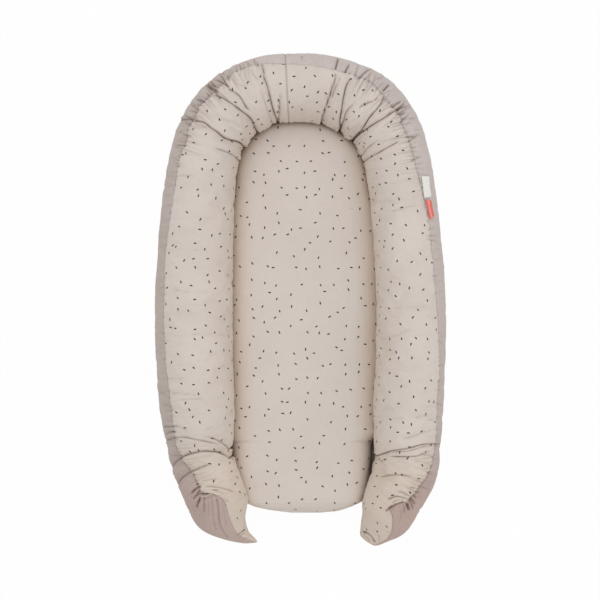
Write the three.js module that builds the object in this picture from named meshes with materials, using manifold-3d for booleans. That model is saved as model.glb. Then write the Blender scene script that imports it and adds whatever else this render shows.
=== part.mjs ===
// Infant lounger: a stuffed tube bent into a horseshoe round a thin mattress. Millimetres, +Z up,
// head end at +Y. The two foot ends are separate bodies, and a zip crosses the underside.
import * as THREE from "three";
import { mergeVertices } from "three/addons/utils/BufferGeometryUtils.js";
import Module from "manifold-3d";

const wasm = await Module();
wasm.setup();

// Driving sizes of the nest
const spineLength = 738; // foot tips to the middle of the head, along Y
const armSpacing = 353; // between the middles of the two arms
const tubeWidth = 126; // widest place, on the left arm
const tubeHeight = 130; // at the head
const mattressThickness = 36;
const baseRise = 10; // underside of the base above the floor

// Cloths, clearances and the depth of the folds
const coverCloth = 0.8;
const sleeveCloth = 0.6;
const linerCloth = 0.5;
const seamGap = 0.3; // between neighbours that are sewn or rest together
const baseGap = 1.2; // between the base and the rounder tube beside it
const sleeveRoom = 1.4; // between the cover and the sleeve
const foldRoom = 8.6; // more of the same, where the cover is gathered
const foldDepth = 7;
const foldWidth = 9;
const cutGap = 0.6; // between an arm and its foot end
const floorShare = 0.94; // height of the tube's axis, as a share of its half height

// Spacing of the rows along the tube
const gatheredStep = 14; // cover, where it is gathered
const plainStep = 36;
const gatheredSleeveStep = 34;
const plainSleeveStep = 60;

// Draw cord in the outer seam
const cordRadius = 1.5;
const cordGap = 0.4;
const cordGroove = 5.2;
const knotRadius = 2.3;

// Zip across the underside
const zipLength = 204;
const toothPitch = 6;
const toothReach = 2.2;
const toothHeight = 1.7;
const tapeWidth = 13;
const tapeThickness = 0.9;
const sliderLength = 11;
const sliderPlate = 1.1;
const flangeWidth = 0.9;
const lugLength = 3.4;
const lugWidth = 2.2;
const pinSide = 1.1;
const pinRoom = 0.35;
const pullLength = 24;
const pullWidth = 7;

// Labels, all blank
const labelCloth = 0.6;
const whiteLabel = { along: 34, wide: 19 };
const coralLabel = { along: 31, wide: 13 };
const careLabel = { along: 46, wide: 28 };

// Spine of the tube from the left tip round the head to the right tip. Each row has the middle
// as shares of armSpacing and spineLength, the width as a share of tubeWidth, the height as a
// share of tubeHeight, and the outer seam's place in degrees above the outer side.
const spineShares = [
  [-0.203, -0.533, 0.05, 0.06, 92],
  [-0.231, -0.528, 0.11, 0.12, 95],
  [-0.263, -0.52, 0.2, 0.23, 98],
  [-0.309, -0.499, 0.44, 0.45, 100],
  [-0.353, -0.47, 0.69, 0.65, 95],
  [-0.387, -0.436, 0.79, 0.76, 74],
  [-0.427, -0.387, 0.79, 0.81, 57],
  [-0.456, -0.341, 0.8, 0.86, 48],
  [-0.461, -0.31, 0.85, 0.89, 43],
  [-0.466, -0.275, 0.915, 0.91, 43],
  [-0.475, -0.224, 0.965, 0.92, 42],
  [-0.49, -0.033, 1, 0.91, 39],
  [-0.47, 0.2, 0.935, 0.95, 40],
  [-0.431, 0.33, 0.875, 0.985, 45],
  [-0.383, 0.382, 0.89, 0.99, 44],
  [-0.295, 0.427, 0.9, 1, 43],
  [-0.167, 0.458, 0.89, 1, 43],
  [-0.01, 0.466, 0.875, 1, 43],
  [0.146, 0.457, 0.88, 1, 46],
  [0.293, 0.427, 0.91, 1, 50],
  [0.384, 0.381, 0.865, 1, 55],
  [0.431, 0.33, 0.85, 1, 57],
  [0.477, 0.2, 0.855, 0.99, 46],
  [0.509, -0.031, 0.895, 0.97, 35],
  [0.497, -0.222, 0.895, 0.95, 31],
  [0.494, -0.282, 0.88, 0.93, 32],
  [0.49, -0.323, 0.86, 0.9, 34],
  [0.479, -0.359, 0.84, 0.86, 38],
  [0.456, -0.403, 0.82, 0.81, 46],
  [0.422, -0.443, 0.75, 0.74, 66],
  [0.385, -0.48, 0.645, 0.64, 72],
  [0.35, -0.507, 0.45, 0.46, 62],
  [0.323, -0.524, 0.285, 0.3, 50],
  [0.309, -0.532, 0.16, 0.17, 40],
];
const leftCutRow = 8; // start of the left foot end, counted in rows of the table
const rightCutRow = 26; // start of the right foot end, counted in rows
const backSeamRow = 16.6; // seam between the left and right covers, counted in rows
const leftKnotRow = 5.1; // knot in the left foot end, counted in rows
const rightKnotRow = 29.1; // knot in the right foot end, counted in rows
const labelRow = 21.62; // start of the first label, counted in rows
const lastRow = spineShares.length - 1;
const innerSeam = 208; // degrees, where the printed top ends inside, over the base
const turn = 360;
const foldFadeIn = 40; // degrees over which a fold deepens below the outer seam
const foldFadeOut = 14;
const grooveAngle = 9; // half of the cord's groove in the stuffing
const grooveShoulder = 38;

// Main folds of the printed cover: row and degrees at both ends
const foldLines = [
  { from: [13.65, 72], to: [14.02, 196] },
  { from: [14.8, 78], to: [15.05, 196] },
  { from: [16.12, 66], to: [16.08, 196] },
  { from: [18.0, 66], to: [17.93, 196] },
  { from: [18.42, 72], to: [18.4, 196] },
  { from: [19.46, 72], to: [19.33, 196] },
  { from: [20.7, 76], to: [21.08, 196] },
  { from: [6.85, 66], to: [6.66, 180] },
  { from: [27.6, 60], to: [27.3, 180] },
];
const gathers = [
  { from: 3.2, to: 7.75 },
  { from: 12.9, to: 22.2 },
  { from: 26.3, to: 30.5 },
]; // rows where the cover is gathered over a slacker sleeve

// Small helpers
const degrees = (value) => (value * Math.PI) / 180;
const mix = (a, b, t) => a + (b - a) * t;
const smooth = (low, high, value) => {
  const t = Math.min(1, Math.max(0, (value - low) / (high - low)));
  return t * t * (3 - 2 * t);
};
const spread = (low, high, steps) => Array.from({ length: steps + 1 }, (_, k) => mix(low, high, k / steps));

// Curves through the rows: one for the middles, one for the sizes
const middles = spineShares.map(
  ([x, y]) => new THREE.Vector3(x * armSpacing, y * spineLength, 0),
);
const sizes = spineShares.map(
  ([, , width, height, seam]) => new THREE.Vector3(width * tubeWidth, height * tubeHeight, seam),
);
const middleCurve = new THREE.CatmullRomCurve3(middles);
const sizeCurve = new THREE.CatmullRomCurve3(sizes);

// Everything that the tube's section needs at one row
function spineAt(row) {
  const t = row / lastRow;
  const centre = middleCurve.getPoint(t);
  const along = middleCurve.getTangent(t);
  const size = sizeCurve.getPoint(t);
  const halfHeight = size.y / (1 + floorShare);
  return {
    centre,
    outward: new THREE.Vector3(-along.y, along.x, 0).normalize(),
    halfWidth: size.x / 2,
    halfHeight,
    axisHeight: size.y - halfHeight,
    seam: size.z,
  };
}

const rowCentres = spread(0, lastRow, lastRow).map((row) => spineAt(row).centre);
const rowLength = (row) => {
  const k = Math.min(lastRow - 1, Math.max(0, Math.floor(row)));
  return rowCentres[k].distanceTo(rowCentres[k + 1]);
};

// Depth of the sewn-in folds at a row and an angle
function foldAt(row, angle) {
  let depth = 0;
  for (const { from, to } of foldLines) {
    const along = (angle - from[1]) / (to[1] - from[1]);
    const foldRow = mix(from[0], to[0], Math.min(1, Math.max(0, along)));
    const away = ((row - foldRow) * rowLength(foldRow)) / foldWidth;
    const fadeIn = smooth(from[1] - foldFadeOut, from[1] + foldFadeIn, angle);
    const fade = fadeIn * (1 - smooth(to[1] - foldFadeOut / 2, to[1] + foldFadeOut, angle));
    depth = Math.max(depth, foldDepth * fade * Math.exp(-away * away));
  }
  return depth;
}

// How much deeper the sleeve lies under the gathered stretches, from 0 to 1
function gatherAt(row) {
  let share = 0;
  for (const { from, to } of gathers) {
    share = Math.max(share, smooth(from - 0.5, from + 0.5, row) * (1 - smooth(to - 0.5, to + 0.5, row)));
  }
  return share;
}

// A point of the tube's wall, inset below its outer surface, with or without the folds
function tubePoint(row, angle, inset, folded = false) {
  const { centre, outward, halfWidth, halfHeight, axisHeight } = spineAt(row);
  const depth = inset + (folded ? foldAt(row, angle) : 0);
  const across = (halfWidth - depth) * Math.cos(degrees(angle));
  const up = axisHeight + (halfHeight - depth) * Math.sin(degrees(angle));
  const point = centre.clone().addScaledVector(outward, across);
  point.z = Math.max(up, inset);
  return point;
}

// Rows between two ends, no further apart than step along the spine
function stations(low, high, step) {
  const rows = [low];
  const marks = [...spread(Math.ceil(low + 0.05), Math.floor(high - 0.05), Math.floor(high - 0.05)
    - Math.ceil(low + 0.05)), high].filter((row) => row > low);
  for (const mark of marks) {
    const start = rows[rows.length - 1];
    const length = rowLength(Math.floor(start)) * (mark - start);
    const steps = Math.max(1, Math.ceil(length / step(start)));
    spread(start, mark, steps).slice(1).forEach((row) => rows.push(row));
  }
  return rows;
}

const coverStep = (row) => (gatherAt(row + 0.5) > 0.3 ? gatheredStep : plainStep);
const sleeveStep = (row) => (gatherAt(row + 0.5) > 0.3 ? gatheredSleeveStep : plainSleeveStep);

// Closed meshes from grids of points: each builder makes one body with its faces outward
function solid(points, faces) {
  let volume = 0;
  for (const [a, b, c] of faces) {
    volume += points[a].dot(points[b].clone().cross(points[c]));
  }
  const geometry = new THREE.BufferGeometry();
  geometry.setAttribute("position", new THREE.Float32BufferAttribute(points.flatMap((p) => p.toArray()), 3));
  geometry.setIndex(faces.flatMap(([a, b, c]) => (volume > 0 ? [a, b, c] : [a, c, b])));
  geometry.computeVertexNormals();
  return geometry;
}

const quad = (a, b, c, d) => [[a, b, c], [a, c, d]];

// Sheet with a thickness: the outer and inner grids have the same rows and columns
function thickSheet(outer, inner) {
  const rows = outer.length;
  const columns = outer[0].length;
  const points = [...outer.flat(), ...inner.flat()];
  const out = (i, j) => i * columns + j;
  const inn = (i, j) => rows * columns + i * columns + j;
  const faces = [];
  for (let i = 0; i < rows - 1; i += 1) {
    for (let j = 0; j < columns - 1; j += 1) {
      faces.push(...quad(out(i, j), out(i + 1, j), out(i + 1, j + 1), out(i, j + 1)));
      faces.push(...quad(inn(i, j), inn(i, j + 1), inn(i + 1, j + 1), inn(i + 1, j)));
    }
    faces.push(...quad(out(i, 0), inn(i, 0), inn(i + 1, 0), out(i + 1, 0)));
    const far = columns - 1;
    faces.push(...quad(out(i, far), out(i + 1, far), inn(i + 1, far), inn(i, far)));
  }
  for (let j = 0; j < columns - 1; j += 1) {
    faces.push(...quad(out(0, j), out(0, j + 1), inn(0, j + 1), inn(0, j)));
    faces.push(...quad(out(rows - 1, j), inn(rows - 1, j), inn(rows - 1, j + 1), out(rows - 1, j + 1)));
  }
  return solid(points, faces);
}

// Walls of rings: each surface is a list of closed rings, capped where it is asked
function ringFaces(rings, offset, flipped, capStart, capEnd, points) {
  const count = rings[0].length;
  const at = (i, j) => offset + i * count + (j % count);
  const faces = [];
  for (let i = 0; i < rings.length - 1; i += 1) {
    for (let j = 0; j < count; j += 1) {
      faces.push(...quad(at(i, j), at(i + 1, j), at(i + 1, j + 1), at(i, j + 1)));
    }
  }
  const cap = (i, turned) => {
    const middle = rings[i].reduce((sum, p) => sum.add(p), new THREE.Vector3()).divideScalar(count);
    const centre = points.push(middle) - 1;
    for (let j = 0; j < count; j += 1) {
      faces.push(turned ? [at(i, j), centre, at(i, j + 1)] : [at(i, j), at(i, j + 1), centre]);
    }
  };
  if (capStart) cap(0, false);
  if (capEnd) cap(rings.length - 1, true);
  return flipped ? faces.map(([a, b, c]) => [a, c, b]) : faces;
}

function filledTube(rings) {
  const points = rings.flat();
  return solid(points, ringFaces(rings, 0, false, true, true, points));
}

// Hollow tube, open at each end that isn't closed; a closed end's inner rings stop short
function hollowTube(outer, inner, closeStart, closeEnd) {
  const count = outer[0].length;
  const points = [...outer.flat(), ...inner.flat()];
  const shift = outer.length * count;
  const faces = ringFaces(outer, 0, false, closeStart, closeEnd, points);
  faces.push(...ringFaces(inner, shift, true, closeStart, closeEnd, points));
  const out = (i, j) => i * count + (j % count);
  const inn = (i, j) => shift + i * count + (j % count);
  for (let j = 0; j < count; j += 1) {
    const last = outer.length - 1;
    const lastIn = inner.length - 1;
    if (!closeStart) faces.push(...quad(out(0, j), out(0, j + 1), inn(0, j + 1), inn(0, j)));
    if (!closeEnd) faces.push(...quad(out(last, j), inn(lastIn, j), inn(lastIn, j + 1), out(last, j + 1)));
  }
  return solid(points, faces);
}

// Boolean join and cut
function toManifold(geometry) {
  const bare = geometry.clone();
  bare.deleteAttribute("normal");
  bare.deleteAttribute("uv");
  const merged = mergeVertices(bare);
  const mesh = { numProp: 3, vertProperties: merged.attributes.position.array, triVerts: merged.index.array };
  return new wasm.Manifold(new wasm.Mesh(mesh));
}

function fromManifold(body) {
  const { vertProperties, triVerts } = body.getMesh();
  const geometry = new THREE.BufferGeometry();
  geometry.setAttribute("position", new THREE.BufferAttribute(new Float32Array(vertProperties), 3));
  geometry.setIndex(new THREE.BufferAttribute(new Uint32Array(triVerts), 1));
  geometry.computeVertexNormals();
  return geometry;
}

// Finishes
const finishes = {
  print: { color: 0xd3c9c0, roughness: 0.92 },
  band: { color: 0xb6a79f, roughness: 0.92 },
  plain: { color: 0xd9d0c8, roughness: 0.92 },
  lining: { color: 0xf1eeea, roughness: 0.95 },
  fibre: { color: 0xfaf9f7, roughness: 1 },
  foam: { color: 0xf4f1e8, roughness: 0.95 },
  cord: { color: 0xd9d2ca, roughness: 0.85 },
  white: { color: 0xf0eee8, roughness: 0.7 },
  coral: { color: 0xea8677, roughness: 0.75 },
  tape: { color: 0xcfc6bd, roughness: 0.9 },
  zip: { color: 0xc9c2bb, roughness: 0.45 },
};

const nest = new THREE.Group();

function add(name, geometry, finish, position) {
  const material = new THREE.MeshStandardMaterial({ ...finishes[finish], metalness: 0 });
  const mesh = new THREE.Mesh(geometry, material);
  mesh.name = name;
  if (position) mesh.position.copy(position);
  nest.add(mesh);
}

// Cover panel between two rows; the angles run from one seam to the other
function coverPanel(rows, anglesAt, folded) {
  const grid = (inset) => rows.map((row) => anglesAt(row).map((angle) => tubePoint(row, angle, inset, folded)));
  return thickSheet(grid(0), grid(coverCloth));
}

const edgeAngle = (row) => (seamGap / spineAt(row).halfHeight / Math.PI) * (turn / 4);
const topAngles = (row) => spread(spineAt(row).seam + edgeAngle(row), innerSeam - edgeAngle(row), 10);
const bandAngles = (row) => spread(innerSeam + edgeAngle(row), turn + spineAt(row).seam - edgeAngle(row), 9);

// Sleeve and stuffing have a groove for the cord along the outer seam
function innerAngles(row) {
  const seam = spineAt(row).seam;
  return [seam, seam + grooveAngle, ...spread(seam + grooveShoulder, seam + turn - grooveShoulder, 9),
    seam + turn - grooveAngle];
}

function innerRings(rows, inset) {
  return rows.map((row) => innerAngles(row).map((angle, k) => {
    const groove = k === 0 ? cordGroove : 0;
    return tubePoint(row, angle, inset + foldRoom * gatherAt(row) + groove * (1 - gatherAt(row)));
  }));
}

const sleeveInset = coverCloth + sleeveRoom;
const stuffingInset = sleeveInset + sleeveCloth + seamGap;
const halfCut = (row) => cutGap / 2 / rowLength(row);
const leftEnds = [leftCutRow - halfCut(leftCutRow), leftCutRow + halfCut(leftCutRow)];
const rightEnds = [rightCutRow - halfCut(rightCutRow), rightCutRow + halfCut(rightCutRow)];
const halfSeam = seamGap / 2 / rowLength(backSeamRow);

// Covers: printed top and plain band, each as a left and right panel and two foot ends
function buildCovers() {
  const spans = [
    ["left", leftEnds[1], backSeamRow - halfSeam],
    ["right", backSeamRow + halfSeam, rightEnds[0]],
    ["left_foot", 0, leftEnds[0]],
    ["right_foot", rightEnds[1], lastRow],
  ];
  for (const [side, low, high] of spans) {
    const rows = stations(low, high, coverStep);
    add(`${side}_top_cover`, coverPanel(rows, topAngles, true), "print");
    add(`${side}_band`, coverPanel(rows, bandAngles, false), "band");
  }
}

// Sleeve and stuffing: an open main length and two foot ends closed at their tips
function buildStuffing() {
  const leftTip = 2;
  const rightTip = lastRow - 1.6;
  const layerRows = 0.12; // between the closing rings, counted in rows
  const inside = (rows, count, closeStart, closeEnd) => rows.slice(closeStart ? count : 0,
    closeEnd ? rows.length - count : rows.length);
  const spans = [
    ["main", leftEnds[1], rightEnds[0], false, false],
    ["left_foot", leftTip, leftEnds[0], true, false],
    ["right_foot", rightEnds[1], rightTip, false, true],
  ];
  for (const [side, low, high, closeStart, closeEnd] of spans) {
    const rows = stations(closeStart ? low + 2 * layerRows : low, closeEnd ? high - 2 * layerRows : high, sleeveStep);
    if (closeStart) rows.unshift(low, low + layerRows);
    if (closeEnd) rows.push(high - layerRows, high);
    const outer = innerRings(rows, sleeveInset);
    const inner = innerRings(inside(rows, 1, closeStart, closeEnd), sleeveInset + sleeveCloth);
    add(`${side}_sleeve`, hollowTube(outer, inner, closeStart, closeEnd), "lining");
    const stuffing = innerRings(inside(rows, 2, closeStart, closeEnd), stuffingInset);
    add(`${side}_stuffing`, filledTube(stuffing), "fibre");
  }
}

// Tucked tips: folded cloth sewn into the end of each foot
function buildTips() {
  const inset = coverCloth + seamGap * 3;
  const spans = [
    ["left_tip_tuck", [0.25, 1, 1.6]],
    ["right_tip_tuck", [lastRow - 1.2, lastRow - 1, lastRow - 0.2]],
  ];
  for (const [name, rows] of spans) {
    const rings = rows.map((row) => spread(0, turn, 12).slice(1).map((angle) => tubePoint(row, angle, inset)));
    add(name, filledTube(rings), "print");
  }
}

// Draw cord in three lengths, and a stitched knot at each gather
function buildCord() {
  const inset = coverCloth + cordGap + cordRadius;
  const section = new THREE.Shape().setFromPoints(
    spread(0, turn, 8).slice(1).map((angle) => new THREE.Vector2(
      cordRadius * Math.cos(degrees(angle)),
      cordRadius * Math.sin(degrees(angle)),
    )),
  );
  const spans = [
    ["main_cord", leftEnds[1], rightEnds[0], 60],
    ["left_foot_cord", leftKnotRow, leftEnds[0], 9],
    ["right_foot_cord", rightEnds[1], rightKnotRow, 9],
  ];
  for (const [name, low, high, steps] of spans) {
    const places = spread(low, high, steps).map((row) => tubePoint(row, spineAt(row).seam, inset));
    const route = new THREE.CatmullRomCurve3(places);
    add(name, new THREE.ExtrudeGeometry(section, { steps, bevelEnabled: false, extrudePath: route }), "cord");
  }
  const knotInset = coverCloth + cordGap + knotRadius;
  const profile = spread(-90, 90, 6).map((angle) => new THREE.Vector2(
    knotRadius * Math.cos(degrees(angle)),
    knotRadius * Math.sin(degrees(angle)),
  ));
  profile[0].x = 0;
  profile[profile.length - 1].x = 0;
  for (const [name, row, way] of [["left_knot", leftKnotRow, -1], ["right_knot", rightKnotRow, 1]]) {
    const place = row + (way * (knotRadius + cordGap)) / rowLength(row);
    add(name, new THREE.LatheGeometry(profile, 10), "cord", tubePoint(place, spineAt(place).seam, knotInset));
  }
}

// The base: rows from its free foot end to the head. A free row has its two ends as shares of
// armSpacing and spineLength; a sewn row names the spine rows on the left and on the right.
const freeRowShares = [
  [[-0.015, -0.467], [0.063, -0.467]],
  [[-0.112, -0.4615], [0.174, -0.4615]],
  [[-0.194, -0.451], [0.238, -0.451]],
  [[-0.231, -0.4355], [0.279, -0.4355]],
  [[-0.249, -0.4135], [0.2945, -0.4135]],
  [[-0.27, -0.385], [0.306, -0.385]],
  [[-0.2885, -0.3475], [0.314, -0.3475]],
  [[-0.302, -0.317], [0.3205, -0.317]],
];
const freeRiseShares = [0.06, 0.44, 0.7, 0.87, 0.95, 0.985, 1, 1];
const sewnRows = [
  [8.5, 25.4], [9.1, 25], [10, 24], [10.5, 23.5], [11, 23], [11.5, 22.5], [12, 22], [12.55, 21.5], [13, 21],
  [13.6, 20.45], [14.1, 19.95], [14.6, 19.45], [15.1, 18.95], [15.6, 18.4], [16.1, 17.9], [16.6, 17.4],
];
const acrossShares = [-1, -0.96, -0.84, -0.55, 0, 0.55, 0.84, 0.96, 1];
const lowSeam = 230; // degrees, where the underside of the base is sewn to the band
const crownShare = 0.36; // of the half width, over which the top turns down
const headRows = 3; // rows over which it turns down at the head
const headEdgeShare = 0.02; // of those rows, left at the seam
const freeCount = freeRowShares.length;
const baseBottom = baseRise + coverCloth;
const baseTop = baseBottom + mattressThickness;

// The two ends of a row of the base, at an angle of the tube's inner side and a clearance from it
function rowEnds(k, angle, clearance) {
  if (k < freeCount) {
    return freeRowShares[k].map(([x, y], end) => {
      const inward = end === 0 ? clearance : -clearance;
      return new THREE.Vector3(x * armSpacing + inward, y * spineLength + clearance, baseBottom);
    });
  }
  return sewnRows[k - freeCount].map((row) => tubePoint(row, angle, -clearance));
}

const baseCount = freeCount + sewnRows.length;
const baseIndex = Array.from({ length: baseCount }, (_, k) => k);

// Rise of the mattress top above its border, from 0 to 1: a crown with drawn-down edges
function crownAt(k, across) {
  const away = Math.min(1, (1 - Math.abs(across)) / crownShare);
  const fromHead = Math.min(1, (baseCount - 1 - k) / headRows + headEdgeShare);
  const headRise = Math.sqrt(1 - (1 - fromHead) ** 2);
  return Math.sqrt(1 - (1 - away) ** 2) * (freeRiseShares[k] ?? 1) * headRise;
}

// Grid of the mattress top, lowered by depth below the outer cloth
function domeGrid(depth) {
  const grid = baseIndex.map((k) => {
    const [left, right] = rowEnds(k, innerSeam, baseGap);
    return acrossShares.map((across) => {
      const point = left.clone().lerp(right, (across + 1) / 2);
      point.z = mix(point.z, baseTop, crownAt(k, across));
      return point;
    });
  });
  return grid.map((line, i) => line.map((point, j) => {
    const next = (di, dj) => grid[Math.min(grid.length - 1, Math.max(0, i + di))][
      Math.min(line.length - 1, Math.max(0, j + dj))];
    const alongRows = next(1, 0).clone().sub(next(-1, 0));
    const alongLine = next(0, 1).clone().sub(next(0, -1));
    const normal = alongLine.cross(alongRows).normalize();
    const lowered = point.clone().addScaledVector(normal, -depth);
    lowered.z = Math.max(lowered.z, baseBottom + seamGap);
    return lowered;
  }));
}

// Flat sheet of the base: rows of three places, given a number or two ends for each
function flatSheet(indexes, clearance, low, thickness) {
  const at = (height) => indexes.map((k) => {
    const [left, right] = typeof k === "number" ? rowEnds(k, lowSeam, clearance) : k;
    return spread(0, 1, 2).map((t) => {
      const point = left.clone().lerp(right, t);
      point.z = height;
      return point;
    });
  });
  return thickSheet(at(low + thickness), at(low));
}

function buildMattress() {
  const linerInset = coverCloth + seamGap;
  const coreInset = linerInset + linerCloth + seamGap * 3;
  const coreLow = baseBottom + seamGap * 2 + linerCloth;
  add("base_top_panel", thickSheet(domeGrid(0), domeGrid(coverCloth)), "print");
  add("mattress_liner_top", thickSheet(domeGrid(linerInset), domeGrid(linerInset + linerCloth)), "lining");
  const rimInset = baseGap + linerInset + linerCloth + seamGap;
  add("mattress_liner_bottom", flatSheet(baseIndex, rimInset, baseBottom + seamGap, linerCloth), "lining");
  const top = domeGrid(coreInset);
  const rings = baseIndex.map((k) => {
    const line = top[k];
    const [lowLeft, lowRight] = rowEnds(k, lowSeam, rimInset);
    const floor = (point, other, pull) => {
      const spot = point.clone().lerp(other, pull);
      spot.z = coreLow;
      return spot;
    };
    line.forEach((point) => {
      point.z = Math.max(point.z, coreLow + linerCloth);
    });
    const first = line[0];
    const last = line[line.length - 1];
    const inwardShare = 0.02;
    return [...line, floor(k < freeCount ? last : lowRight, first, inwardShare), floor(last, first, 0.5),
      floor(k < freeCount ? first : lowLeft, last, inwardShare)];
  });
  add("mattress_core", filledTube(rings), "foam");
}

// Bottom of the base: a main panel and a foot flap, parted where the zip runs
const zipRow = freeCount - 1;
const zipY = freeRowShares[zipRow][0][1] * spineLength;
const zipX = ((freeRowShares[zipRow][0][0] + freeRowShares[zipRow][1][0]) / 2) * armSpacing;

function buildBottom() {
  const parting = tapeWidth * 0.6;
  const shifted = (side) => rowEnds(zipRow, lowSeam, 0).map((point) => {
    point.y += side * parting;
    return point;
  });
  const foot = [...baseIndex.slice(0, zipRow), shifted(-1)];
  const head = [shifted(1), ...baseIndex.slice(freeCount)];
  add("base_foot_flap", flatSheet(foot, baseGap, baseRise, coverCloth), "plain");
  add("base_bottom_panel", flatSheet(head, baseGap, baseRise, coverCloth), "plain");
}

// Zip: two tapes whose moulded teeth mesh, end stops, slider and puller
const tapeTop = baseRise - seamGap;
const tapeEdge = toothReach + seamGap; // from the zip's middle line to each tape
const combHalf = tapeEdge + toothReach;
const teethLow = tapeTop - tapeThickness - toothHeight;
const plateTop = teethLow - seamGap;
const lugHeight = pinSide * 3;
const lugLow = plateTop - sliderPlate - lugHeight;
const sliderStart = zipX - zipLength / 2 + sliderLength / 2 + toothPitch * 1.5;

function bar(length, width, height, x, y, low) {
  return new THREE.BoxGeometry(length, width, height).translate(x, y, low + height / 2);
}

function buildTape(name, side) {
  const tapeY = zipY + side * (tapeEdge + tapeWidth / 2);
  const tape = bar(zipLength, tapeWidth, tapeThickness, zipX, tapeY, tapeTop - tapeThickness);
  const toothLength = toothPitch / 2 - seamGap;
  const count = Math.floor(zipLength / toothPitch) - 1;
  const first = zipX - zipLength / 2 + toothPitch * (side > 0 ? 0.75 : 1.25);
  const outline = new THREE.Shape();
  const root = side * combHalf;
  const crest = side * (seamGap - toothReach);
  const valley = side * tapeEdge;
  outline.moveTo(first - toothLength / 2, root);
  for (let k = 0; k < count; k += 1) {
    const x = first + k * toothPitch;
    outline.lineTo(x - toothLength / 2, crest);
    outline.lineTo(x + toothLength / 2, crest);
    if (k < count - 1) {
      outline.lineTo(x + toothLength / 2, valley);
      outline.lineTo(x + toothPitch - toothLength / 2, valley);
    }
  }
  outline.lineTo(first + (count - 1) * toothPitch + toothLength / 2, root);
  outline.closePath();
  const overlap = tapeThickness / 2;
  const comb = new THREE.ExtrudeGeometry(outline, { depth: toothHeight + overlap, bevelEnabled: false });
  comb.translate(0, zipY, teethLow);
  add(name, fromManifold(toManifold(tape).add(toManifold(comb))), "tape");
}

function buildZip() {
  buildTape("zip_tape_head", 1);
  buildTape("zip_tape_foot", -1);
  const stopLength = toothPitch / 2;
  for (const [name, side] of [["zip_stop_left", -1], ["zip_stop_right", 1]]) {
    const x = zipX + side * (zipLength / 2 - stopLength / 2);
    const height = toothHeight - seamGap;
    add(name, bar(stopLength, toothReach * 4, height, x, zipY, tapeTop - tapeThickness - seamGap - height), "zip");
  }
  const sliderWidth = 2 * (combHalf + seamGap + flangeWidth);
  const plate = bar(sliderLength, sliderWidth, sliderPlate, sliderStart, zipY, plateTop - sliderPlate);
  let slider = toManifold(plate);
  for (const side of [-1, 1]) {
    const y = zipY + side * (sliderWidth - flangeWidth) / 2;
    const flange = bar(sliderLength, flangeWidth, toothHeight + seamGap, sliderStart, y, plateTop - sliderPlate / 2);
    slider = slider.add(toManifold(flange));
  }
  const lugX = sliderStart - sliderLength / 2 + lugLength;
  const lug = bar(lugLength, lugWidth, lugHeight + sliderPlate / 2, lugX, zipY, lugLow);
  const eyeRadius = pinSide * Math.SQRT1_2 + pinRoom;
  const eye = new THREE.CylinderGeometry(eyeRadius, eyeRadius, lugWidth * 2, 12);
  eye.translate(lugX, zipY, lugLow + lugHeight / 2);
  slider = slider.add(toManifold(lug)).subtract(toManifold(eye));
  add("zip_slider", fromManifold(slider), "zip");
  buildPuller(lugX, lugLow + lugHeight / 2);
}

// Puller: a flat tab with a window, whose end bar is the pin in the lug's eye
function buildPuller(pinX, pinZ) {
  const outline = new THREE.Shape();
  const half = pullWidth / 2;
  const start = -pinSide / 2;
  const end = start + pullLength;
  outline.moveTo(start, -half);
  outline.lineTo(end - half, -half);
  outline.absarc(end - half, 0, half, -Math.PI / 2, Math.PI / 2, false);
  outline.lineTo(start, half);
  outline.closePath();
  const window = new THREE.Path();
  const windowHalf = lugWidth / 2 + pinRoom;
  const windowEnd = pinSide / 2 + lugHeight;
  window.moveTo(pinSide / 2, -windowHalf);
  window.lineTo(pinSide / 2, windowHalf);
  window.lineTo(windowEnd, windowHalf);
  window.lineTo(windowEnd, -windowHalf);
  window.closePath();
  outline.holes.push(window);
  const tab = new THREE.ExtrudeGeometry(outline, { depth: pinSide, bevelEnabled: false, curveSegments: 8 });
  tab.translate(pinX, zipY, pinZ - pinSide / 2);
  add("zip_puller", tab, "zip");
}

// Labels: two on the right arm's band below its seam, one under the base
function buildLabels() {
  const label = (name, low, { along, wide }, finish) => {
    const high = low + along / rowLength(low);
    const grid = (inset) => spread(low, high, 3).map((row) => {
      const { seam, halfHeight } = spineAt(row);
      const sweep = wide / halfHeight / Math.PI * (turn / 2);
      return spread(turn + seam - sweep, turn + seam - edgeAngle(row), 3)
        .map((angle) => tubePoint(row, angle, inset));
    });
    add(name, thickSheet(grid(-seamGap - labelCloth), grid(-seamGap)), finish);
    return high;
  };
  const whiteEnd = label("white_label", labelRow, whiteLabel, "white");
  label("coral_label", whiteEnd + seamGap * 6 / rowLength(labelRow), coralLabel, "coral");
  const y = zipY + tapeWidth * 2 + careLabel.wide;
  add("care_label", bar(careLabel.along, careLabel.wide, labelCloth, zipX + zipLength / 4, y,
    baseRise - seamGap - labelCloth), "white");
}

buildCovers();
buildStuffing();
buildTips();
buildCord();
buildMattress();
buildBottom();
buildZip();
buildLabels();

// The origin is on the floor, under the middle of the nest's box
const box = new THREE.Box3().setFromObject(nest);
nest.position.set(-(box.min.x + box.max.x) / 2, -(box.min.y + box.max.y) / 2, -box.min.z);

export default nest;
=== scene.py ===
# Infant lounger: the looks of the stuffed horseshoe tube, its flat pad, labels and zip.
# Metres, +Y to the head end, +Z up. The camera looks straight down, as the photograph does.
import math

import bmesh
import bpy
import numpy as np
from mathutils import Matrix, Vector, kdtree


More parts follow.
